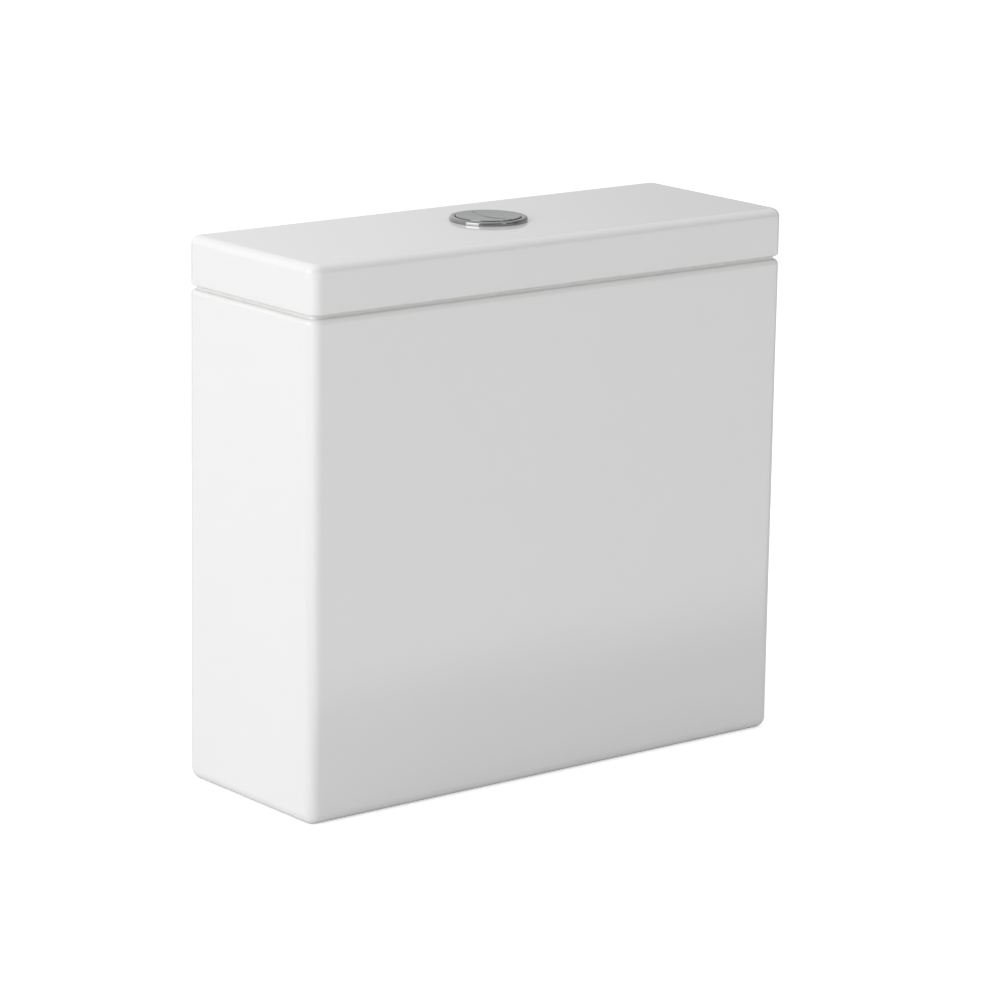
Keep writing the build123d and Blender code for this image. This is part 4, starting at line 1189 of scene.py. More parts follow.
@dataclass
class FlushValve:
    """The dual flush valve under the button."""

    axis: Flat = (0.0, 4.5)
    facets: int = 112
    tail: float = 29.8
    tail_bore: float = 25.5
    tail_low: float = 6.0
    floor_low: float = 30.0
    floor_top: float = 42.0
    flange_low: float = 45.0
    flange_top: float = 50.0
    flange: float = 44.0
    seat_top: float = 60.0
    nut: float = 37.0
    nut_neck: float = 35.0
    nut_height: float = 9.0
    gasket: float = 46.0
    gasket_height: float = 18.0
    cage: float = 38.0
    cage_top: float = 225.0
    window_top: float = 92.0
    collar_top: float = 190.0
    head_inner: float = 38.4
    head_outer: float = 40.6
    head_top: float = 250.0
    guide: float = 4.8
    guide_bore: float = 2.4
    pivot_side: float = 27.0
    pivot: float = 278.0
    ear: float = 4.6
    ear_faces: Flat = (5.1, 7.5)
    brace_face: float = 7.2
    brace_half: float = 0.9
    lift_face: float = 281.3
    pad_arm: float = 14.0
    tip_arm: float = 17.0
    lever: float = 3.0
    lever_width: float = 4.4
    web_half: float = 2.4
    hub: float = 4.2
    pin: float = 1.8
    pin_half: float = 8.3
    tube: float = 14.0
    tube_bore: float = 12.3
    tube_top: float = 257.0
    mark_low: float = 228.0
    mark_height: float = 0.5
    mark_step: float = 5.0
    disc: float = 28.0
    plate: float = 3.0
    seal: float = 31.0
    keeper: float = 22.0
    float_low: float = 148.0
    float_high: float = 200.0
    float_radius: float = 33.0
    half_low: float = 128.0
    half_high: float = 174.0
    half_depth: float = 16.0
    half_rod: float = 2.0
    tip_side: float = 44.0
    bar_half: float = 3.5
    yoke_arms: Flat = (9.1, 12.1)
    frame_gap: float = 1.1
    frame_wall: float = 3.0
    fin_half: float = 0.7

    def build_base(self) -> None:
        """Makes the base that the tank stands over, with its washer, nut and gasket."""
        base = Shape(self.axis, self.facets)
        tail, bore, seat, top = self.tail, self.tail_bore, self.seat_top, self.flange_top
        base.lathe((bore, self.tail_low, 0.6), (tail, self.tail_low, 0.8), (tail, self.flange_low, 0.4),
                   (self.flange, self.flange_low), (self.flange, top, 1.2), (tail, top, 0.8),
                   (tail, seat - 2.2, 0.4), (tail - 2.2, seat, 0.4), (bore + 0.9, seat, 0.4),
                   (bore + 0.9, top, 0.2), (bore, top))
        base.ribs(3, sector(tail - 0.4, tail + 4.0, 0.0, 36.0, 10), top + 2.5, top + 6.5)
        web_low, web_high = self.tail_low + 6.0, self.tail_low + 20.0
        base.ribs(4, block((3.0, -0.8), (bore + 0.3, 0.8)), web_low, web_high, start=45.0)
        base.collar((2.0, 4.0), (web_low, web_high), segments=32)
        base.finish("flush_base", "cistern", "valve_base", WHITE_PLASTIC, bevel=0.3)
        washer = Shape(self.axis, self.facets)
        snug = tail + SNUG
        washer.lathe((snug, self.floor_top), (self.flange - 1.0, self.floor_top, 1.0),
                     (self.flange - 1.0, self.flange_low, 1.0), (snug, self.flange_low))
        washer.finish("flush_washer", "cistern", "base_washer", BLACK_RUBBER)
        nut = Shape(self.axis, self.facets)
        low, high = self.floor_low - self.nut_height, self.floor_low
        nut.lathe((snug, low), (self.nut_neck, low, 0.8), (self.nut_neck, high - 3.0, 0.4),
                  (self.nut, high - 3.0), (self.nut, high), (snug, high))
        nut.ribs(6, round_box(3.6, 3.5, 1.0, 4, centre=(self.nut - 0.6, 0.0)), low + 0.2, high - 0.2)
        nut.ribs(48, round_box(1.2, 0.5, 0.3, 3, centre=(self.nut_neck + 0.2, 0.0)), low + 0.5, high - 1.5)
        nut.finish("flush_nut", "cistern", "flush_back_nut", GREY_PLASTIC, bevel=0.25)
        gasket = Shape(self.axis, self.facets)
        wide = self.gasket
        low, high = low - self.gasket_height, low
        gasket.lathe((snug, low, 0.8), (40.0, low, 1.5), (wide, low + 6.0, 1.5), (wide, low + 9.0, 0.4),
                     (wide - 0.7, low + 9.6, 0.3), (wide - 0.7, low + 11.4, 0.3), (wide, low + 12.0, 0.4),
                     (wide, high, 1.2), (snug, high, 0.8))
        gasket.finish("gasket", "cistern", "pan_gasket", GASKET_RUBBER)

    def build_cage(self) -> None:
        """Makes the cage with its windows and slots, and the guide eye of the half flush."""
        cage = Shape(self.axis, self.facets)
        wide, top, window, collar = self.cage, self.cage_top, self.window_top, self.collar_top
        bore = self.tube + 0.4
        half = 30.0 - math.degrees(math.asin(4.0 / wide))
        windows = [(30.0 + 60.0 * step, half, self.flange_top + 10.0, window) for step in range(6)]
        cage.pierced_wall((wide - 3.4, wide), (self.flange_top, window + 0.6), windows)
        slots = [(30.0 + 120.0 * step, 6.8, window + 10.0, collar - 14.0) for step in range(3)]
        cage.pierced_wall((wide - 2.0, wide - SUNK), (window - 0.4, top), slots)
        cage.lathe((bore, top - 3.0), (wide - 0.1, top - 3.0), (wide, top - 1.5, 0.2),
                   (wide, top + SUNK, 1.0), (bore, top + SUNK))
        cage.collar((wide - 1.0, self.head_outer), (collar - 4.0, collar), (SOFT, 1.2, 0.3, SOFT))
        brace = [(self.tube + 3.0, top - 8.0), (wide - 1.5, top - 14.0), (wide - 1.5, top - 2.0),
                 (self.tube + 3.0, top - 2.0)]
        cage.ribs(6, brace, -self.fin_half, self.fin_half, Along.BACK)
        low, high = self.half_low - 10.0, self.half_low - 5.0
        left, back = guide = (-self.tip_side, self.axis[1])
        cage.collar((self.guide_bore, self.guide), (low, high), (0.4,) * 4, guide, 40)
        cage.prism(block((left + 3.0, back - 2.4), (1.5 - wide, back + 2.4)), low + 0.1, high - 0.1)
        cage.finish("cage", "cistern", "valve_cage", WHITE_PLASTIC, bevel=0.35)

    def build_head(self) -> None:
        """Makes the head that carries the levers, and the levers' pins."""
        head = Shape(self.axis, self.facets)
        pins = Shape()
        back, top, collar = self.axis[1], self.head_top, self.collar_top
        inner, outer, tube = self.head_inner, self.head_outer, self.tube
        head.collar((inner, outer), (collar, collar + 10.0), (SOFT, SOFT, 0.8, 0.8))
        sweep = 2 * math.degrees(math.asin(10.0 / outer))
        table = top - 4.0
        head.ribs(2, sector(inner, outer, 90.0, sweep, 10), collar + 2.0, table + 1.0)
        head.ribs(2, block((inner - 3.0, -0.8), (inner + 0.5, 0.8)), collar + 38.0, table + 1.0, start=90.0)
        head.prism(circle(outer, self.axis, 120), table, top, (circle(tube + 0.4, self.axis, 72),))
        head.collar((self.guide_bore, self.guide), (top - 5.0, top + 0.03), (0.3, 0.4, 0.4, 0.3),
                    (-self.tip_side, back), 40)
        head.collar((tube + 0.4, tube + 2.2), (top - 1.0, top + 1.0), (SOFT, SOFT, 0.3, 0.3))
        for side in Side:
            place = side.value * self.pivot_side
            ear = eye(place, top - 1.0, self.pivot, self.ear)
            bore = circle(self.pin + PLAY, (place, self.pivot), 28)
            near, far = self.ear_faces
            for low, high in ((-far, -near), (near, far)):
                head.prism(ear, back + low, back + high, (bore,), Along.BACK)
            for face in (-1, 1):
                foot = back + face * self.brace_face
                brace = [(foot, top - 1.0), (foot + face * 5.0, top - 1.0), (foot, top + 13.0)]
                head.prism(brace, place - self.brace_half, place + self.brace_half, along=Along.RIGHT)
            pins.prism(circle(self.pin, (place, self.pivot), 28), back - self.pin_half,
                       back + self.pin_half, along=Along.BACK)
        head.finish("flush_head", "cistern", "valve_head", WHITE_PLASTIC, bevel=0.3)
        pins.finish("pins", "cistern", "lever_pins", STEEL, bevel=0.3)

    def build_lever(self, side: Side) -> None:
        """Makes one rocker lever with a thin web and a rim.

        Args:
            side: Which lever.
        """
        lever = Shape()
        back, width, height = self.axis[1], self.lever_width, self.pivot
        place = side.value * self.pivot_side
        ends = sorted((place - side.value * self.pad_arm, place + side.value * self.tip_arm))
        bore = circle(self.pin + PLAY, (place, height), 28)
        web, rim, inside = ([(x, z + height) for x, z in slot_outline(*ends, radius)]
                            for radius in (self.lever - 0.2, self.lever, self.lever - 1.0))
        parts = [(web, self.web_half, (bore,)), (rim, width, (inside,)),
                 (circle(self.hub, (place, height), 40), width - SUNK, (bore,))]
        parts += [(circle(self.lever - 0.1, (end, height), 32), width - 0.1, ()) for end in ends]
        for outline, half, holes in parts:
            lever.prism(outline, back - half, back + half, holes, Along.BACK)
        name = side.name.lower()
        finish = BLUE_PLASTIC if side is Side.FULL else GREEN_PLASTIC
        lever.finish(f"{name}_rocker", f"{name}_lever", f"{name}_lever", finish, bevel=0.25)

    def build_stem(self) -> None:
        """Makes the overflow tube and what it lifts: the seal, its keeper and the float."""
        stem = Shape(self.axis, self.facets)
        tube, seat, low, high = self.tube, self.seat_top, self.float_low, self.float_high
        snug = tube + SNUG
        under, over = seat + self.plate, seat + 2 * self.plate
        stem.lathe((self.tube_bore, seat - 6.0, 0.4), (tube, seat - 6.0, 0.4), (tube, under, 0.1),
                   (self.disc, under, 0.4), (self.disc, over, 1.0), (tube, over, 0.8),
                   (tube, low - 4.0, 0.3), (tube + 4.0, low - 4.0, 0.5), (tube + 4.0, low, 0.4),
                   (tube, low, 0.1), (tube, self.tube_top, 0.6), (self.tube_bore, self.tube_top, 0.6),
                   segments=80)
        brace = [(tube - 0.3, seat + 5.5), (self.disc - 2.0, seat + 5.5), (tube - 0.3, seat + 15.0)]
        stem.ribs(6, brace, -self.fin_half, self.fin_half, Along.BACK)
        stem.ribs(4, sector(tube - 0.3, tube + 0.2, -90.0, 40.0, 8), self.mark_low,
                  self.mark_low + self.mark_height, rise=self.mark_step, step=0.0)
        stem.finish("standpipe", "flush_stem", "overflow_tube", WHITE_PLASTIC, bevel=0.15)
        seal = Shape(self.axis, self.facets)
        seal.collar((snug, self.seal), (seat, seat + self.plate), (SOFT, 1.2, 1.2, SOFT))
        seal.finish("flush_seal", "flush_stem", "seal_washer", RED_SILICONE)
        keeper = Shape(self.axis, self.facets)
        keeper.lathe((snug, seat - 5.4), (self.keeper - 1.3, seat - 5.4, 0.3), (self.keeper, seat - 4.0, 0.3),
                     (self.keeper, seat), (snug, seat))
        keeper.finish("seal_keeper", "flush_stem", "seal_retainer", WHITE_PLASTIC)
        body = Shape(self.axis, self.facets)
        wide, waist, shoulder = self.float_radius, self.float_radius - 0.8, self.float_radius - 3.0
        body.lathe((snug, low), (shoulder, low, 0.8), (wide, low + 3.0, 0.8), (wide, low + 14.0, 0.4),
                   (waist, low + 14.8, 0.4), (waist, high - 14.8, 0.4), (wide, high - 14.0, 0.4),
                   (wide, high - 3.0, 0.8), (shoulder, high, 0.8), (snug, high))
        body.ribs(12, round_box(1.0, 1.2, 0.5, 3, centre=(wide - 1.0, 0.0)), low + 14.5, high - 14.5,
                  start=15.0)
        body.finish("lift_float", "flush_stem", "flush_float", BLUE_PLASTIC)

    def build_yoke(self) -> None:
        """Makes the yoke: a ring on the tube, two arms, and the bar over the full lever."""
        yoke = Shape(self.axis, 72)
        low, high = self.head_top + 1.5, self.head_top + 6.5
        yoke.collar((self.tube + SNUG, self.tube + 5.0), (low, high))
        back, face = self.axis[1], self.lift_face
        bar_low, bar_high = self.tip_side - self.bar_half, self.tip_side + self.bar_half
        inner, outer = self.yoke_arms
        start = math.sqrt((self.tube + 3.0) ** 2 - ((inner + outer) / 2) ** 2)
        profile = [(start, low + SUNK), (bar_high, low + SUNK), (bar_high, face + 5.0), (bar_low, face + 5.0),
                   (bar_low, high + 3.0), (bar_low - 3.0, high), (start, high - SUNK)]
        for near, far in ((inner, outer), (-outer, -inner)):
            yoke.prism(rounded_corners(profile, 0.8, 3), back + near, back + far, along=Along.BACK)
        yoke.prism(block((bar_low + SUNK, back - 12.0), (bar_high - SUNK, back + 12.0)), face, face + 4.98)
        yoke.prism(block((bar_low + 2.6, back - 9.3), (bar_high - 0.1, back + 9.3)), low + 0.1, low + 3.0)
        yoke.finish("yoke", "flush_stem", "lift_yoke", BLUE_PLASTIC, bevel=0.35)

    def build_half_link(self) -> None:
        """Makes the half flush's stirrup, rod and float."""
        place, back = axis = (-self.tip_side, self.axis[1])
        link = Shape(axis, 28)
        low, high, foot, rod = self.lift_face - 20.0, self.lift_face, self.half_low - 14.0, self.half_rod
        middle, reach = (back, (low + high) / 2), (high - low) / 2
        width = self.lever_width + self.frame_gap
        outer = round_box(width + self.frame_wall, reach + 5.0, 1.5, 5, centre=middle)
        inner = round_box(width, reach, 0.8, 5, centre=middle)
        link.prism(outer, place - self.bar_half, place + self.bar_half, (inner,), Along.RIGHT)
        link.lathe((0.0, foot), (1.3, foot, 0.3), (rod, foot + 0.8, 0.3), (rod, low - 1.0, 0.2),
                   (0.0, low - 1.0))
        link.wind(rod, 0.18, self.half_high + 2.0, low - 18.0, 1.2, steps=20)
        link.finish("stirrup", "half_link", "half_flush_link", NATURAL_PLASTIC, bevel=0.4)
        body = Shape(self.axis)
        near, far = self.cage + 0.4, self.cage + self.half_depth
        body.prism(sector(near, far + 0.4, 180.0, 46.0, 22, self.axis), self.half_low, self.half_high,
                   (circle(rod + SNUG, axis, 28),))
        body.ribs(5, sector(far - 0.6, far + 0.9, 0.0, 3.0, 3), self.half_low + 6.0, self.half_high - 6.0,
                  step=8.0, start=164.0)
        body.finish("half_float", "half_link", "half_flush_float", GREEN_PLASTIC, bevel=0.5)

    def build(self) -> None:
        """Makes the whole flush valve."""
        self.build_base()
        self.build_cage()
        self.build_head()
        for side in Side:
            self.build_lever(side)
        self.build_stem()
        self.build_yoke()
        self.build_half_link()


@dataclass
class FillValve:
    """The bottom inlet fill valve with its float."""

    axis: Flat = (-150.0, 0.0)
    facets: int = 72
    bore: float = 4.0
    shank: float = 10.2
    neck: float = 10.45
    neck_low: float = 22.0
    shank_low: float = 8.0
    floor_low: float = 30.0
    floor_top: float = 42.0
    flange: float = 18.0
    nut_flat: float = 16.0
    strainer: float = 3.8
    strainer_bore: float = 2.8
    strainer_span: Flat = (10.0, 28.0)
    thread_depth: float = 0.45
    thread_pitch: float = 1.814
    pipe: float = 8.0
    pipe_top: float = 283.0
    head: float = 17.0
    head_low: float = 268.0
    head_top: float = 286.0
    membrane: float = 16.5
    cap: float = 18.8
    cap_low: float = 288.0
    cap_top: float = 293.0
    nozzle: float = 2.5
    jet: float = 0.6
    pivot_right: float = 12.0
    pivot: float = 300.5
    ear: float = 4.0
    ear_faces: Flat = (5.4, 7.4)
    hub: float = 3.4
    arm: float = 2.0
    arm_width: float = 5.0
    arm_nose: float = 15.0
    arm_reach: float = 26.0
    fork_half: float = 2.1
    pin: float = 1.5
    rod_right: float = 32.0
    rod: float = 1.8
    rod_bore: float = 1.95
    rod_boss: float = 3.8
    rod_top: float = 313.7
    ball: float = 3.0
    ball_height: float = 294.5
    knob: float = 3.5
    knob_height: float = 307.2
    float_low: float = 216.0
    float_high: float = 262.0
    float_ends: Flat = (-151.0, -131.0)
    float_radius: float = 25.0
    float_wall: float = 2.0
    float_edge: float = 3.0

    def build_riser(self) -> None:
        """Makes the threaded tail and pipe, with the washer, the nut and the filter."""
        riser = Shape(self.axis, self.facets)
        low, foot, shank, neck, pipe = self.shank_low, self.floor_top + 3.0, self.shank, self.neck, self.pipe
        riser.lathe((self.bore, low, 0.4), (shank - 0.7, low, 0.3), (shank, low + 0.9, 0.3),
                    (shank, self.neck_low, 0.1), (neck, self.neck_low, 0.1), (neck, foot, 0.2),
                    (self.flange, foot), (self.flange, foot + 4.0, 0.8), (pipe + 2.0, foot + 4.0, 0.8),
                    (pipe, foot + 8.0, 0.8), (pipe, self.pipe_top), (self.bore, self.pipe_top))
        riser.wind(shank, self.thread_depth, low + 1.2, self.neck_low - 0.6, self.thread_pitch)
        brace = [(pipe - 0.2, foot + 3.5), (self.flange - 2.0, foot + 3.5), (pipe - 0.2, foot + 16.0)]
        riser.ribs(4, brace, -0.8, 0.8, Along.BACK)
        riser.finish("inlet_pipe", "cistern", "fill_riser", WHITE_PLASTIC, bevel=0.2)
        washer = Shape(self.axis, self.facets)
        washer.collar((neck + SNUG, self.flange - 0.5), (self.floor_top, foot), (SOFT, 1.0, 1.0, SOFT))
        washer.finish("inlet_washer", "cistern", "fill_washer", BLACK_RUBBER)
        nut = Shape(self.axis, self.facets)
        low, high = self.floor_low - 8.0, self.floor_low
        corners = arc(self.nut_flat / math.cos(math.pi / 6), 30, 390, 6, self.axis)[:-1]
        nut.prism(corners, low, high, (circle(neck + SNUG, self.axis, 48),))
        nut.collar((neck + 0.3, self.nut_flat - 0.8), (low - 0.6, low + 0.5), (0.3, 0.4, 0.1, 0.1))
        nut.finish("inlet_nut", "cistern", "fill_back_nut", GREY_PLASTIC, bevel=0.7)
        strainer = Shape(self.axis, 32)
        wide, inner = self.strainer, self.strainer_bore
        low, high = self.strainer_span
        strainer.lathe((inner, low, 0.2), (wide, low, 0.3), (wide, high, 0.4), (0.0, high),
                       (0.0, high - 1.0), (inner, high - 1.0, 0.2))
        strainer.finish("strainer", "cistern", "inlet_filter", GREY_PLASTIC)

    def build_head(self) -> None:
        """Makes the valve's head with its ports, and the ribbed cap with the arm's bearing."""
        head = Shape(self.axis, self.facets)
        low, top, snug, wide = self.head_low, self.head_top, self.pipe + SNUG, self.head - SUNK
        half = math.degrees(math.asin(2.5 / self.head))
        ports = [(60.0 * step, half, low + 1.2, low + 7.0) for step in range(6)]
        head.pierced_wall((self.head - 2.4, self.head), (low, low + 9.0), ports)
        head.lathe((snug, low + 8.0), (wide, low + 8.0, 0.3), (wide, top), (self.bore, top, 0.4),
                   (self.bore, self.pipe_top, 0.2), (snug, self.pipe_top, 0.2))
        head.collar((snug, self.pipe + 2.4), (low, low + 9.0), (0.3, 0.4, 0.1, 0.1))
        head.finish("valve_body", "cistern", "fill_head", WHITE_PLASTIC, bevel=0.2)
        cap = Shape(self.axis, self.facets)
        skirt, inner, outer, top = self.cap_low - 10.0, self.head + SNUG, self.cap - 0.6, self.cap_top
        cap.lathe((inner, skirt, 0.2), (outer, skirt, 0.4), (outer, top, 1.2), (0.0, top),
                  (0.0, self.cap_low), (inner, self.cap_low, 0.2))
        cap.ribs(24, round_box(0.9, 0.9, 0.5, 3, centre=(self.cap - 0.9, 0.0)), skirt + 0.6, top - 1.2)
        tip, nozzle, jet = self.pivot - self.arm - 1.3, self.nozzle, self.jet
        cap.lathe((0.0, top - 0.5), (nozzle + 1.0, top - 0.5, 0.2), (nozzle, top + 1.5, 0.4),
                  (nozzle, tip - 0.6, 0.2), (1.3, tip, 0.2), (jet, tip, 0.1), (jet, tip - 2.0, 0.1),
                  (0.0, tip - 2.0), segments=40)
        place = self.axis[0] + self.pivot_right
        ear = eye(place, top - 0.8, self.pivot, self.ear)
        bore = circle(self.pin + PLAY, (place, self.pivot), 24)
        near, far = self.ear_faces
        for low, high in ((-far, -near), (near, far)):
            cap.prism(ear, low, high, (bore,), Along.BACK)
        cap.finish("valve_cap", "cistern", "fill_cap", WHITE_PLASTIC, bevel=0.2)
        pin = Shape()
        pin.prism(circle(self.pin, (place, self.pivot), 24), -8.0, 8.2, along=Along.BACK)
        pin.prism(circle(self.pin + 0.7, (place, self.pivot), 28), -8.3, -7.5, along=Along.BACK)
        pin.finish("arm_axle", "cistern", "arm_pin", STEEL, bevel=0.25)

    def build_arm(self) -> None:
        """Makes the float arm with its fork, the pilot seal under its nose, and the diaphragm."""
        arm = Shape()
        place = self.axis[0] + self.pivot_right
        left, right = place - self.arm_nose, place + self.arm_reach
        width, slot = self.arm_width, self.fork_half
        fork = self.axis[0] + self.rod_right - self.rod - 2.0
        near = [(left + 1.2, width - 0.8, 1.5), (left + 6.0, width, 3.0), (fork + 6.0, width, 3.0),
                (right, width - 0.8, 1.4), (right, slot, 0.6), (fork, slot, 1.6)]
        body = [(x, -y, edge) for x, y, edge in near] + near[::-1]
        shift = 1000.0
        shifted = [(x + shift, y, edge) for x, y, edge in body]
        outline = [(x - shift, y) for x, y in rounded_corners(shifted, 1.0, 5)]
        low, high = self.pivot - self.arm, self.pivot + self.arm
        arm.prism(outline, low, high)
        arm.prism(circle(self.hub, (place, self.pivot), 36), SUNK - width, width - SUNK,
                  (circle(self.pin + PLAY, (place, self.pivot), 24),), Along.BACK)
        for edge in (0.9 - width, width - 0.9):
            arm.prism(block((place + 5.0, edge - 0.5), (right - 3.0, edge + 0.5)), high - 0.3, high + 0.8)
        arm.finish("fork_arm", "float_arm", "float_arm", GREEN_PLASTIC, bevel=0.35)
        seal = Shape(self.axis, 32)
        seal.collar((0.0, 3.0), (low - 1.0, low), (SOFT, 0.4, 0.1, SOFT))
        seal.finish("pilot_pad", "float_arm", "pilot_seal", RED_SILICONE)
        disc = Shape(self.axis, self.facets)
        disc.collar((0.0, self.membrane), (self.head_top, self.cap_low), (SOFT, 0.6, 0.6, SOFT))
        disc.finish("diaphragm", "cistern", "fill_diaphragm", RED_SILICONE)

    def build_float(self) -> None:
        """Makes the float, open below, with the adjusting rod and its knob."""
        cup = Shape()
        low, high, wall, edge = self.float_low, self.float_high, self.float_wall, self.float_edge
        ceiling = high - 2 * wall
        levels = [(wall, ceiling), (wall, high - 12.0), (wall, low + 12.0), (wall, low + 0.5),
                  (wall - 0.5, low), (0.5, low), (0.0, low + 0.5), (0.0, low + 3.5), (0.5, low + 4.0),
                  (0.5, high - 9.0), (0.0, high - 8.5),
                  *quarter((0.0, high), (edge, -edge), False, range(0, 91, 15))]
        made = cup.skin([lift(slot_outline(*self.float_ends, self.float_radius - inset, 24), height)
                         for inset, height in levels])
        tops, ceilings = [made[-1]], [made[0]]
        rod_axis = (self.axis[0] + self.rod_right, self.axis[1])
        guides = ((self.axis, self.pipe + 0.4, self.pipe + 2.4), (rod_axis, self.rod_bore, self.rod_boss))
        for centre, bore, boss in guides:
            stations = ((bore + 0.4, high), (bore, high - 0.4), (bore, low + 0.4), (bore + 0.4, low),
                        (boss - 0.4, low), (boss, low + 0.4), (boss, ceiling))
            loops = cup.skin([lift(circle(radius, centre, 40), height) for radius, height in stations])
            tops.append(loops[0])
            ceilings.append(loops[-1])
        cup.fill(*tops)
        cup.fill(*ceilings)
        cup.finish("inlet_float", "fill_float", "fill_float", GREY_PLASTIC)
        rod = Shape(rod_axis, 28)
        rod.collar((0.0, self.rod), (low, self.rod_top), (0.0, 0.4, 0.5, 0.0))
        ball = arc(self.ball, -90, 90, 18, (0.0, self.ball_height))
        rod.lathe((0.0, self.ball_height - self.ball), *ball[1:-1], (0.0, self.ball_height + self.ball),
                  edge=0.0, segments=36)
        rod.wind(self.rod, 0.18, high + 1.0, self.ball_height - 4.5, 1.0, steps=20)
        rod.finish("level_rod", "fill_float", "adjusting_rod", NATURAL_PLASTIC)
        knob = Shape(rod_axis, 40)
        middle, reach = self.knob_height, self.knob
        low, high, bore = middle - reach + 0.4, middle + reach - 0.4, self.rod_bore
        knob.lathe((bore, low, 0.3), (reach - 1.0, low, 0.8), (reach - 0.2, middle, 1.2),
                   (reach - 1.0, high, 0.8), (bore, high, 0.3))
        knob.ribs(10, round_box(0.5, 0.45, 0.25, 3, centre=(reach - 0.4, 0.0)), middle - 2.2, middle + 2.2)
        knob.finish("level_knob", "fill_float", "adjuster_knob", GREEN_PLASTIC, bevel=0.1)

    def build(self) -> None:
        """Makes the whole fill valve."""
        self.build_riser()
        self.build_head()
        self.build_arm()
        self.build_float()


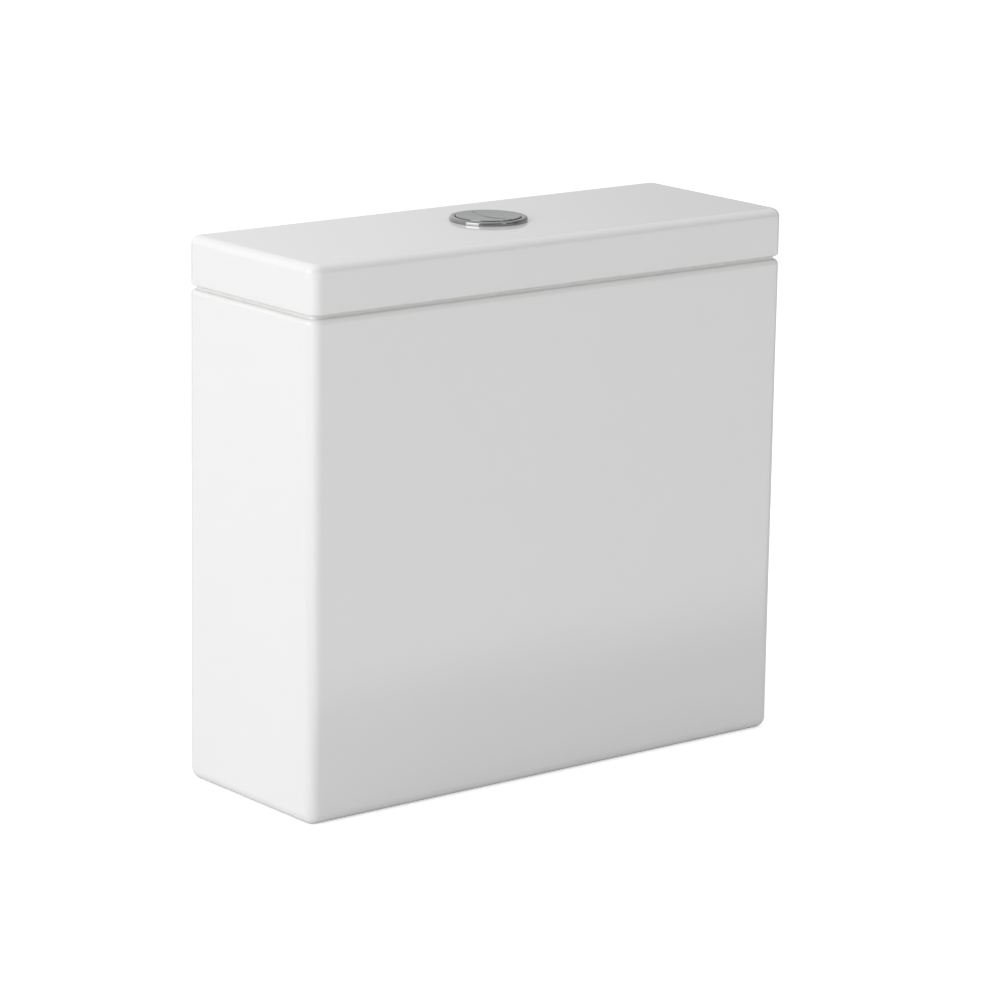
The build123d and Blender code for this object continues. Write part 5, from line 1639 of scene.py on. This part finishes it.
@dataclass
class Studio:
    """The floor, the light and the camera, in metres and degrees."""

    spot: Spot = (-1.7761, -2.2328, 0.8578)
    yaw: float = 38.66
    pitch: float = 13.40
    roll: float = 0.89
    focal_share: float = 4.3148
    sensor: float = 36.0
    floor_reach: float = 14.0
    floor_lift: float = 0.55
    floor_ramp: tuple[float, ...] = (-0.21, -0.41, 0.0, 1.2)
    side_ramp: tuple[float, ...] = (0.5, 0.72, 0.92, 0.4)
    front_ramp: tuple[float, ...] = (-0.25, -0.6, 1.0, 0.34)
    light_level: float = 0.553

    def camera(self) -> None:
        """Places the camera at the photograph's angle."""
        yaw, pitch, roll = (math.radians(value) for value in (self.yaw, self.pitch, self.roll))
        ahead = Vector((math.sin(yaw) * math.cos(pitch), math.cos(yaw) * math.cos(pitch), -math.sin(pitch)))
        right = Vector((math.cos(yaw), -math.sin(yaw), 0.0))
        up = right.cross(ahead)
        turned_right = math.cos(roll) * right + math.sin(roll) * up
        turned_up = -math.sin(roll) * right + math.cos(roll) * up
        data = bpy.data.cameras.new("camera")
        data.sensor_width = self.sensor
        data.lens = self.sensor * self.focal_share
        data.clip_start = 0.01
        data.clip_end = 100.0
        camera = bpy.data.objects.new("camera", data)
        turn = Matrix((turned_right, turned_up, -ahead)).transposed()
        camera.matrix_world = Matrix.Translation(Vector(self.spot)) @ turn.to_4x4()
        bpy.context.scene.collection.objects.link(camera)
        bpy.context.scene.camera = camera

    def ramp(self, sketch: NodeSketch, name: str, ends: Sequence[float]) -> None:
        """Adds a node that leads one value smoothly over to another.

        Args:
            sketch: The sketch that gets it.
            name: What the wires call it.
            ends: Where it starts, where it ends, and the values there.
        """
        settings = dict(zip(("From Min", "From Max", "To Min", "To Max"), ends))
        sketch.add(name, "ShaderNodeMapRange", {"interpolation_type": "SMOOTHSTEP", **settings})

    def floor(self) -> None:
        """Lays a pale floor that shows white and keeps the cistern's shadow."""
        material = bpy.data.materials.new("pale_floor")
        material.use_nodes = True
        sketch = NodeSketch(material.node_tree)
        sketch.plain(place="ShaderNodeTexCoord", matt="ShaderNodeBsdfDiffuse", path="ShaderNodeLightPath",
                     apart="ShaderNodeSeparateXYZ", glow="ShaderNodeEmission", both="ShaderNodeAddShader",
                     leave="ShaderNodeOutputMaterial")
        sketch.add("grain", "ShaderNodeTexNoise", {"Scale": 220.0, "Detail": 2.0})
        sketch.add("tint", "ShaderNodeMix", {"data_type": "RGBA", 6: (0.8, 0.8, 0.8, 1),
                                             7: (0.82, 0.82, 0.82, 1)})
        sketch.add("seen", "ShaderNodeMath", {"operation": "MAXIMUM"})
        sketch.add("lift", "ShaderNodeMath", {"operation": "MULTIPLY", 1: self.floor_lift})
        self.ramp(sketch, "ahead", self.floor_ramp)
        sketch.add("mirrored", "ShaderNodeMath", {"operation": "MULTIPLY"})
        sketch.add("total", "ShaderNodeMath", {"operation": "ADD"})
        sketch.wire("place.Object > grain.Vector", "grain.Fac > tint.Factor", "tint.2 > matt.Color",
                    "path.Is Camera Ray > seen.0", "path.Is Transmission Ray > seen.1", "seen.0 > lift.0",
                    "place.Object > apart.0", "apart.Y > ahead.Value", "path.Is Glossy Ray > mirrored.0",
                    "ahead.Result > mirrored.1", "lift.0 > total.0", "mirrored.0 > total.1",
                    "total.0 > glow.Strength", "matt.0 > both.0", "glow.0 > both.1", "both.0 > leave.Surface")
        data = bpy.data.meshes.new("floor")
        reach = self.floor_reach
        data.from_pydata([(x, y, 0) for x, y in block((-reach, -reach), (reach, reach))], [], [(0, 1, 2, 3)])
        data.materials.append(material)
        floor = bpy.data.objects.new("floor", data)
        bpy.context.scene.collection.objects.link(floor)

    def world(self) -> None:
        """Lights the scene from all round, shows white behind it, and darker sides in reflections."""
        world = bpy.data.worlds.new("studio")
        bpy.context.scene.world = world
        world.use_nodes = True
        sketch = NodeSketch(world.node_tree)
        pale = (1, 1, 1, 1)
        sketch.plain(path="ShaderNodeLightPath", place="ShaderNodeTexCoord", apart="ShaderNodeSeparateXYZ",
                     with_mirror="ShaderNodeMixShader", mixed="ShaderNodeMixShader",
                     leave="ShaderNodeOutputWorld")
        sketch.add("seen", "ShaderNodeMath", {"operation": "MAXIMUM"})
        sketch.add("light", "ShaderNodeBackground", {"Strength": self.light_level, "Color": pale})
        sketch.add("white", "ShaderNodeBackground", {"Color": pale})
        sketch.add("mirror", "ShaderNodeBackground", {"Color": pale})
        self.ramp(sketch, "fall", self.side_ramp)
        self.ramp(sketch, "front", self.front_ramp)
        sketch.add("both", "ShaderNodeMath", {"operation": "MULTIPLY"})
        sketch.wire("place.Generated > apart.0", "apart.X > fall.Value", "apart.Y > front.Value",
                    "fall.Result > both.0", "front.Result > both.1", "both.0 > mirror.Strength",
                    "path.Is Camera Ray > seen.0", "path.Is Transmission Ray > seen.1",
                    "path.Is Glossy Ray > with_mirror.0", "light.0 > with_mirror.1",
                    "mirror.0 > with_mirror.2", "seen.0 > mixed.0", "with_mirror.0 > mixed.1",
                    "white.0 > mixed.2", "mixed.0 > leave.Surface")

    def lamp(self, name: str, spot: Sequence[float], aim: Sequence[float], size: Flat, power: float,
             glossy: bool = True, diffuse: bool = True) -> None:
        """Hangs a soft lamp.

        Args:
            name: The lamp's name.
            spot: Where it hangs.
            aim: The point that it faces.
            size: Its width and height.
            power: Its power in watts.
            glossy: Whether it shows in reflections.
            diffuse: Whether it lights the surfaces.
        """
        data = bpy.data.lights.new(name, "AREA")
        data.shape = "RECTANGLE"
        data.size, data.size_y = size
        data.energy = power
        lamp = bpy.data.objects.new(name, data)
        turn = (Vector(aim) - Vector(spot)).to_track_quat("-Z", "Y").to_matrix()
        lamp.matrix_world = Matrix.Translation(Vector(spot)) @ turn.to_4x4()
        lamp.visible_camera = False
        lamp.visible_glossy = glossy
        lamp.visible_diffuse = diffuse
        bpy.context.scene.collection.objects.link(lamp)

    def build(self) -> None:
        """Sets up the whole studio."""
        self.camera()
        self.floor()
        self.world()
        self.lamp("side_lamp", (-3.2, -0.2, 1.3), (0, 0, 0.2), (2.4, 2.4), 48.5)
        self.lamp("front_lamp", (-0.6, -3.6, 2.2), (0, 0, 0.2), (2.0, 1.6), 2.5)
        self.lamp("top_lamp", (-0.4, 0.3, 3.0), (0, 0, 0.3), (2.6, 2.6), 18.0, glossy=False)
        self.lamp("window", (0.7, -3.9, 2.0), (0, 0, 0.37), (0.9, 0.9), 7.5, diffuse=False)
        bpy.context.scene.view_settings.view_transform = "Standard"


def main() -> None:
    """Builds the sub-assemblies in order."""
    logging.basicConfig(level=logging.INFO, format="%(message)s")
    Studio().build()
    china = China()
    china.tank()
    china.lid()
    PushButton().build()
    FlushValve().build()
    FillValve().build()


if __name__ == "__main__":
    main()
